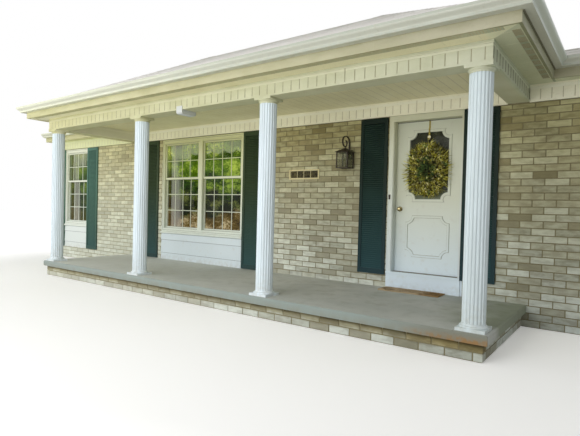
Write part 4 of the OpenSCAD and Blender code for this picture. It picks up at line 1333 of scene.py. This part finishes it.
def flower_mesh():
    """Six petals round a low cone."""
    flower = blank()
    for i in range(6):
        made = bmesh.ops.create_grid(flower, x_segments=1, y_segments=2, size=0.5)["verts"]
        for v in made:
            out = v.co.y + 0.5
            v.co = (v.co.x * 0.009 * math.sin(math.pi * (0.15 + 0.7 * out)), 0.011 * out,
                    0.004 * out * (1.4 - out))
        bmesh.ops.rotate(flower, verts=made, matrix=Matrix.Rotation(i * math.tau / 6, 3, "Z"))
    bmesh.ops.create_cone(flower, segments=6, radius1=0.0028, radius2=0.001, depth=0.004,
                          cap_ends=True, matrix=Matrix.Translation((0, 0, 0.002)))
    mesh = mesh_of("flower", flower)
    mesh["tones"] = (0.86, 1.0)
    return mesh


def plant(shape, mesh, at, way, size):
    """Stamps one leaf or flower at a point, along a direction, with a tone from its range."""
    turn = way.to_track_quat("Y", "Z").to_matrix().to_4x4()
    spin = Matrix.Rotation(chance.uniform(0, math.tau), 4, "Y")
    matrix = Matrix.Translation(at) @ turn @ spin @ Matrix.Scale(size, 4)
    value = chance.uniform(*mesh["tones"])
    mesh.attributes["tone"].data.foreach_set("value", [value] * len(mesh.polygons))
    stamp(shape, mesh, [matrix])


print("leaf helpers ready")

# %% Wreath
centre, half_w, half_h, squarish = Vector((2.545, 0.0, 1.856)), 0.274, 0.383, 2.6
gold = leaf_mesh("gold_leaf", 0.056, 0.0135, 0.25, 0.42, 0.78)
sprig = leaf_mesh("sprig", 0.076, 0.0055, 0.35, 0.55, 0.90)
brown = leaf_mesh("brown_leaf", 0.044, 0.017, -0.2, 0.0, 0.16)
green_leaf = leaf_mesh("green_leaf", 0.054, 0.020, 0.2, 0.2, 0.38)
bloom = flower_mesh()
wreath = blank()
for count, mesh, inner, outer, lift in (
        (700, brown, 0.0, 0.94, 0.0), (540, gold, 0.16, 0.97, 0.014),
        (480, sprig, 0.22, 0.98, 0.02), (300, green_leaf, 0.0, 0.40, 0.014),
        (120, green_leaf, 0.55, 0.9, 0.01), (560, bloom, 0.24, 0.97, 0.026)):
    for _ in range(count):
        angle = chance.uniform(0, math.tau)
        far = math.sqrt(chance.uniform(inner ** 2, outer ** 2))
        out = Vector((math.cos(angle), 0, math.sin(angle)))
        square = (abs(out.x) ** squarish + abs(out.z) ** squarish) ** (-1 / squarish)
        lump = square * (1 + 0.03 * math.sin(5 * angle + 1) + 0.02 * math.sin(11 * angle))
        dome_y = 0.082 - 0.058 * math.sqrt(1 - min(0.99, far ** 2)) - lift * chance.random()
        at = centre + Vector((out.x * half_w * 0.95 * far * lump, dome_y,
                              out.z * half_h * 0.95 * far * lump))
        way = (out * (0.35 + far) + Vector((-out.z, 0, out.x)) * chance.uniform(-0.9, 0.9)
               + Vector((0, -1.1 + 0.75 * far, 0))
               + Vector([chance.uniform(-0.4, 0.4) for _ in range(3)]))
        size = chance.uniform(0.7, 1.15) * (1 - 0.35 * (far > 0.85))
        if mesh is bloom:
            way = Vector((out.z, 0, -out.x)) + Vector((0, chance.uniform(-0.5, 0.5), 0))
            size *= 1.25
        plant(wreath, mesh, at, way, size)
print(len(wreath.faces), "faces of foliage")

# %% Wisps and base
for _ in range(120):
    angle = chance.choice((math.pi, 0.0)) + chance.uniform(-0.75, 0.75)
    out = Vector((math.cos(angle), 0, math.sin(angle)))
    at = centre + Vector((out.x * half_w * 0.86, 0.06, out.z * half_h * 0.86))
    plant(wreath, sprig, at, out + Vector([chance.uniform(-0.35, 0.35) for _ in range(3)]),
          chance.uniform(0.9, 1.75))
pad = bmesh.ops.create_uvsphere(wreath, u_segments=28, v_segments=10, radius=1, matrix=
                                Matrix.Translation(centre + Vector((0, 0.075, 0)))
                                @ Matrix.Diagonal((half_w * 0.93, 0.022, half_h * 0.93, 1)))
for v in pad["verts"]:
    v.co += v.normal * 0.004 * chance.uniform(-1, 1)
dried = Finish("dried_flowers", roughness=0.85)
hue = dried.ramp(dried.tone(), (0.0, (36, 28, 10)), (0.16, (66, 52, 18)),
                 (0.2, (56, 88, 42)), (0.38, (132, 162, 84)),
                 (0.42, (112, 104, 8)), (0.62, (186, 178, 46)),
                 (0.84, (226, 218, 110)), (1.0, (252, 246, 188)))
# Noise darkens leaves in clumps: painted shade for the dark gaps deep in the wreath.
clump = dried.mask(dried.noise(16, 3), 0.42, 0.57)
hue = dried.blend(hue, (46, 38, 8), (1 - clump) * 0.66)
dried.feed(base_color=hue, normal=dried.bump(dried.noise(400, 2), 0.0005))
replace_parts(piece("wreath_foliage", wreath, dried, "door"), "wreath")

# %% [markdown]
# The strap that holds the wreath is thin sheet, dulled to dark gold. A round medallion is
# soldered to it above the wreath: a shallow spun dish with a rim, polished, its near-white colour
# a painted highlight for its glint.

# %% Strap and medallion
dish = turned([(0, 0.0), (0.019, 0.0), (0.0215, 0.002), (0.019, 0.0045), (0.015, 0.0035),
               (0.008, 0.006), (0.0, 0.007)], (0, 0, 0), 28)
bmesh.ops.rotate(dish, verts=dish.verts, matrix=Matrix.Rotation(math.pi / 2, 3, "X"))
bmesh.ops.translate(dish, verts=dish.verts, vec=(door_x, 0.0871, 2.284))
polished_glint = clouded("polished_dish_glint", (255, 250, 226), (232, 218, 160), 90, 2,
                   roughness=0.3, metallic=0.25)
piece("strap_medallion", dish, polished_glint, "door", smooth=True)
strap = Finish("strap_gold", roughness=0.42, metallic=0.5)
strap.feed(base_color=strap.blend((150, 136, 58), (108, 96, 34),
                                  strap.mask(strap.noise(60, 4), 0.42, 0.75)))
dress(strap, "wreath_hanger")

# %% [markdown]
# The floor is a plain pale plane and the light is a soft studio's: an even world, a high sun
# behind a haze, and two broad lamps in front, which brighten the wall's left half. The camera
# sees the world as plain white, and so do metal and glass. The floor adds a little light of its
# own to the camera only, more of it far away, so that floor and world meet without an edge and
# the shadow stays.

# %% Floor
ground = bmesh.new()
bmesh.ops.create_grid(ground, x_segments=1, y_segments=1, size=60,
                      matrix=Matrix.Translation((0, 0, -0.002)))
floor = added("studio_floor", mesh_of("studio_floor", ground))
pale = Finish("studio_floor", roughness=1.0, specular_ior_level=0.0, emission_strength=1.0)
seen = pale.node("ShaderNodeLightPath", out="Is Camera Ray")
oval = pale.node("ShaderNodeVectorMath", {"operation": "MULTIPLY"},
                 {0: pale.place, 1: (0.72, 1.0, 1.0)})
far = pale.mask(pale.node("ShaderNodeVectorMath", {"operation": "LENGTH"}, {0: oval}, "Value"),
                4.5, 9.0)
glow = pale.blend((120, 120, 120), (255, 255, 255), far)
pale.feed(base_color=pale.blend((214, 213, 207), (247, 247, 245), seen),
          emission_color=pale.blend((0, 0, 0), glow, seen))
floor.data.materials.append(pale.material)
print(floor.name, "laid")

# %% World
sky = Finish("studio", "worlds", "Background", color=(1, 1, 1, 1))
camera_ray, glossy_ray, through_ray = (
    sky.node("ShaderNodeLightPath", out="Is " + ray + " Ray")
    for ray in ("Camera", "Glossy", "Transmission"))
sky.feed(strength=sky.node("ShaderNodeMapRange", {}, {
    "Value": camera_ray | glossy_ray | through_ray, "To Min": 0.52}))
bpy.context.scene.world = sky.material
bpy.context.scene.view_settings.view_transform = "Standard"
print("world", sky.material.name)

# %% Lamps
def lamp(name, kind, power, at, aim, **shape):
    """A lamp at a point, turned to look at another."""
    made = added(name, bpy.data.lights.new(name, kind))
    made.data.energy = power
    for key, value in shape.items():
        setattr(made.data, key, value)
    made.location = at
    made.rotation_euler = (Vector(at) - Vector(aim)).to_track_quat("Z", "Y").to_euler()
    print(name, kind, power)


lamp("high_lamp", "SUN", 0.4, (-3.0, -7.0, 7.0), (0, 0, 1), angle=0.6)
lamp("left_lamp", "AREA", 205.0, (-7.5, -8.0, 2.6), (-2.5, 0, 1.6), size=5.0)
lamp("front_lamp", "AREA", 330.0, (1.0, -9.0, 2.2), (-4.5, 0, 1.8), size=5.0)

# %% [markdown]
# Last, the script prints how many triangles it added. The dressed porch may differ from the box
# of the bare solids only by what stands a few millimetres proud.

# %% Finish
print("triangles added", sum(triangles.values()))
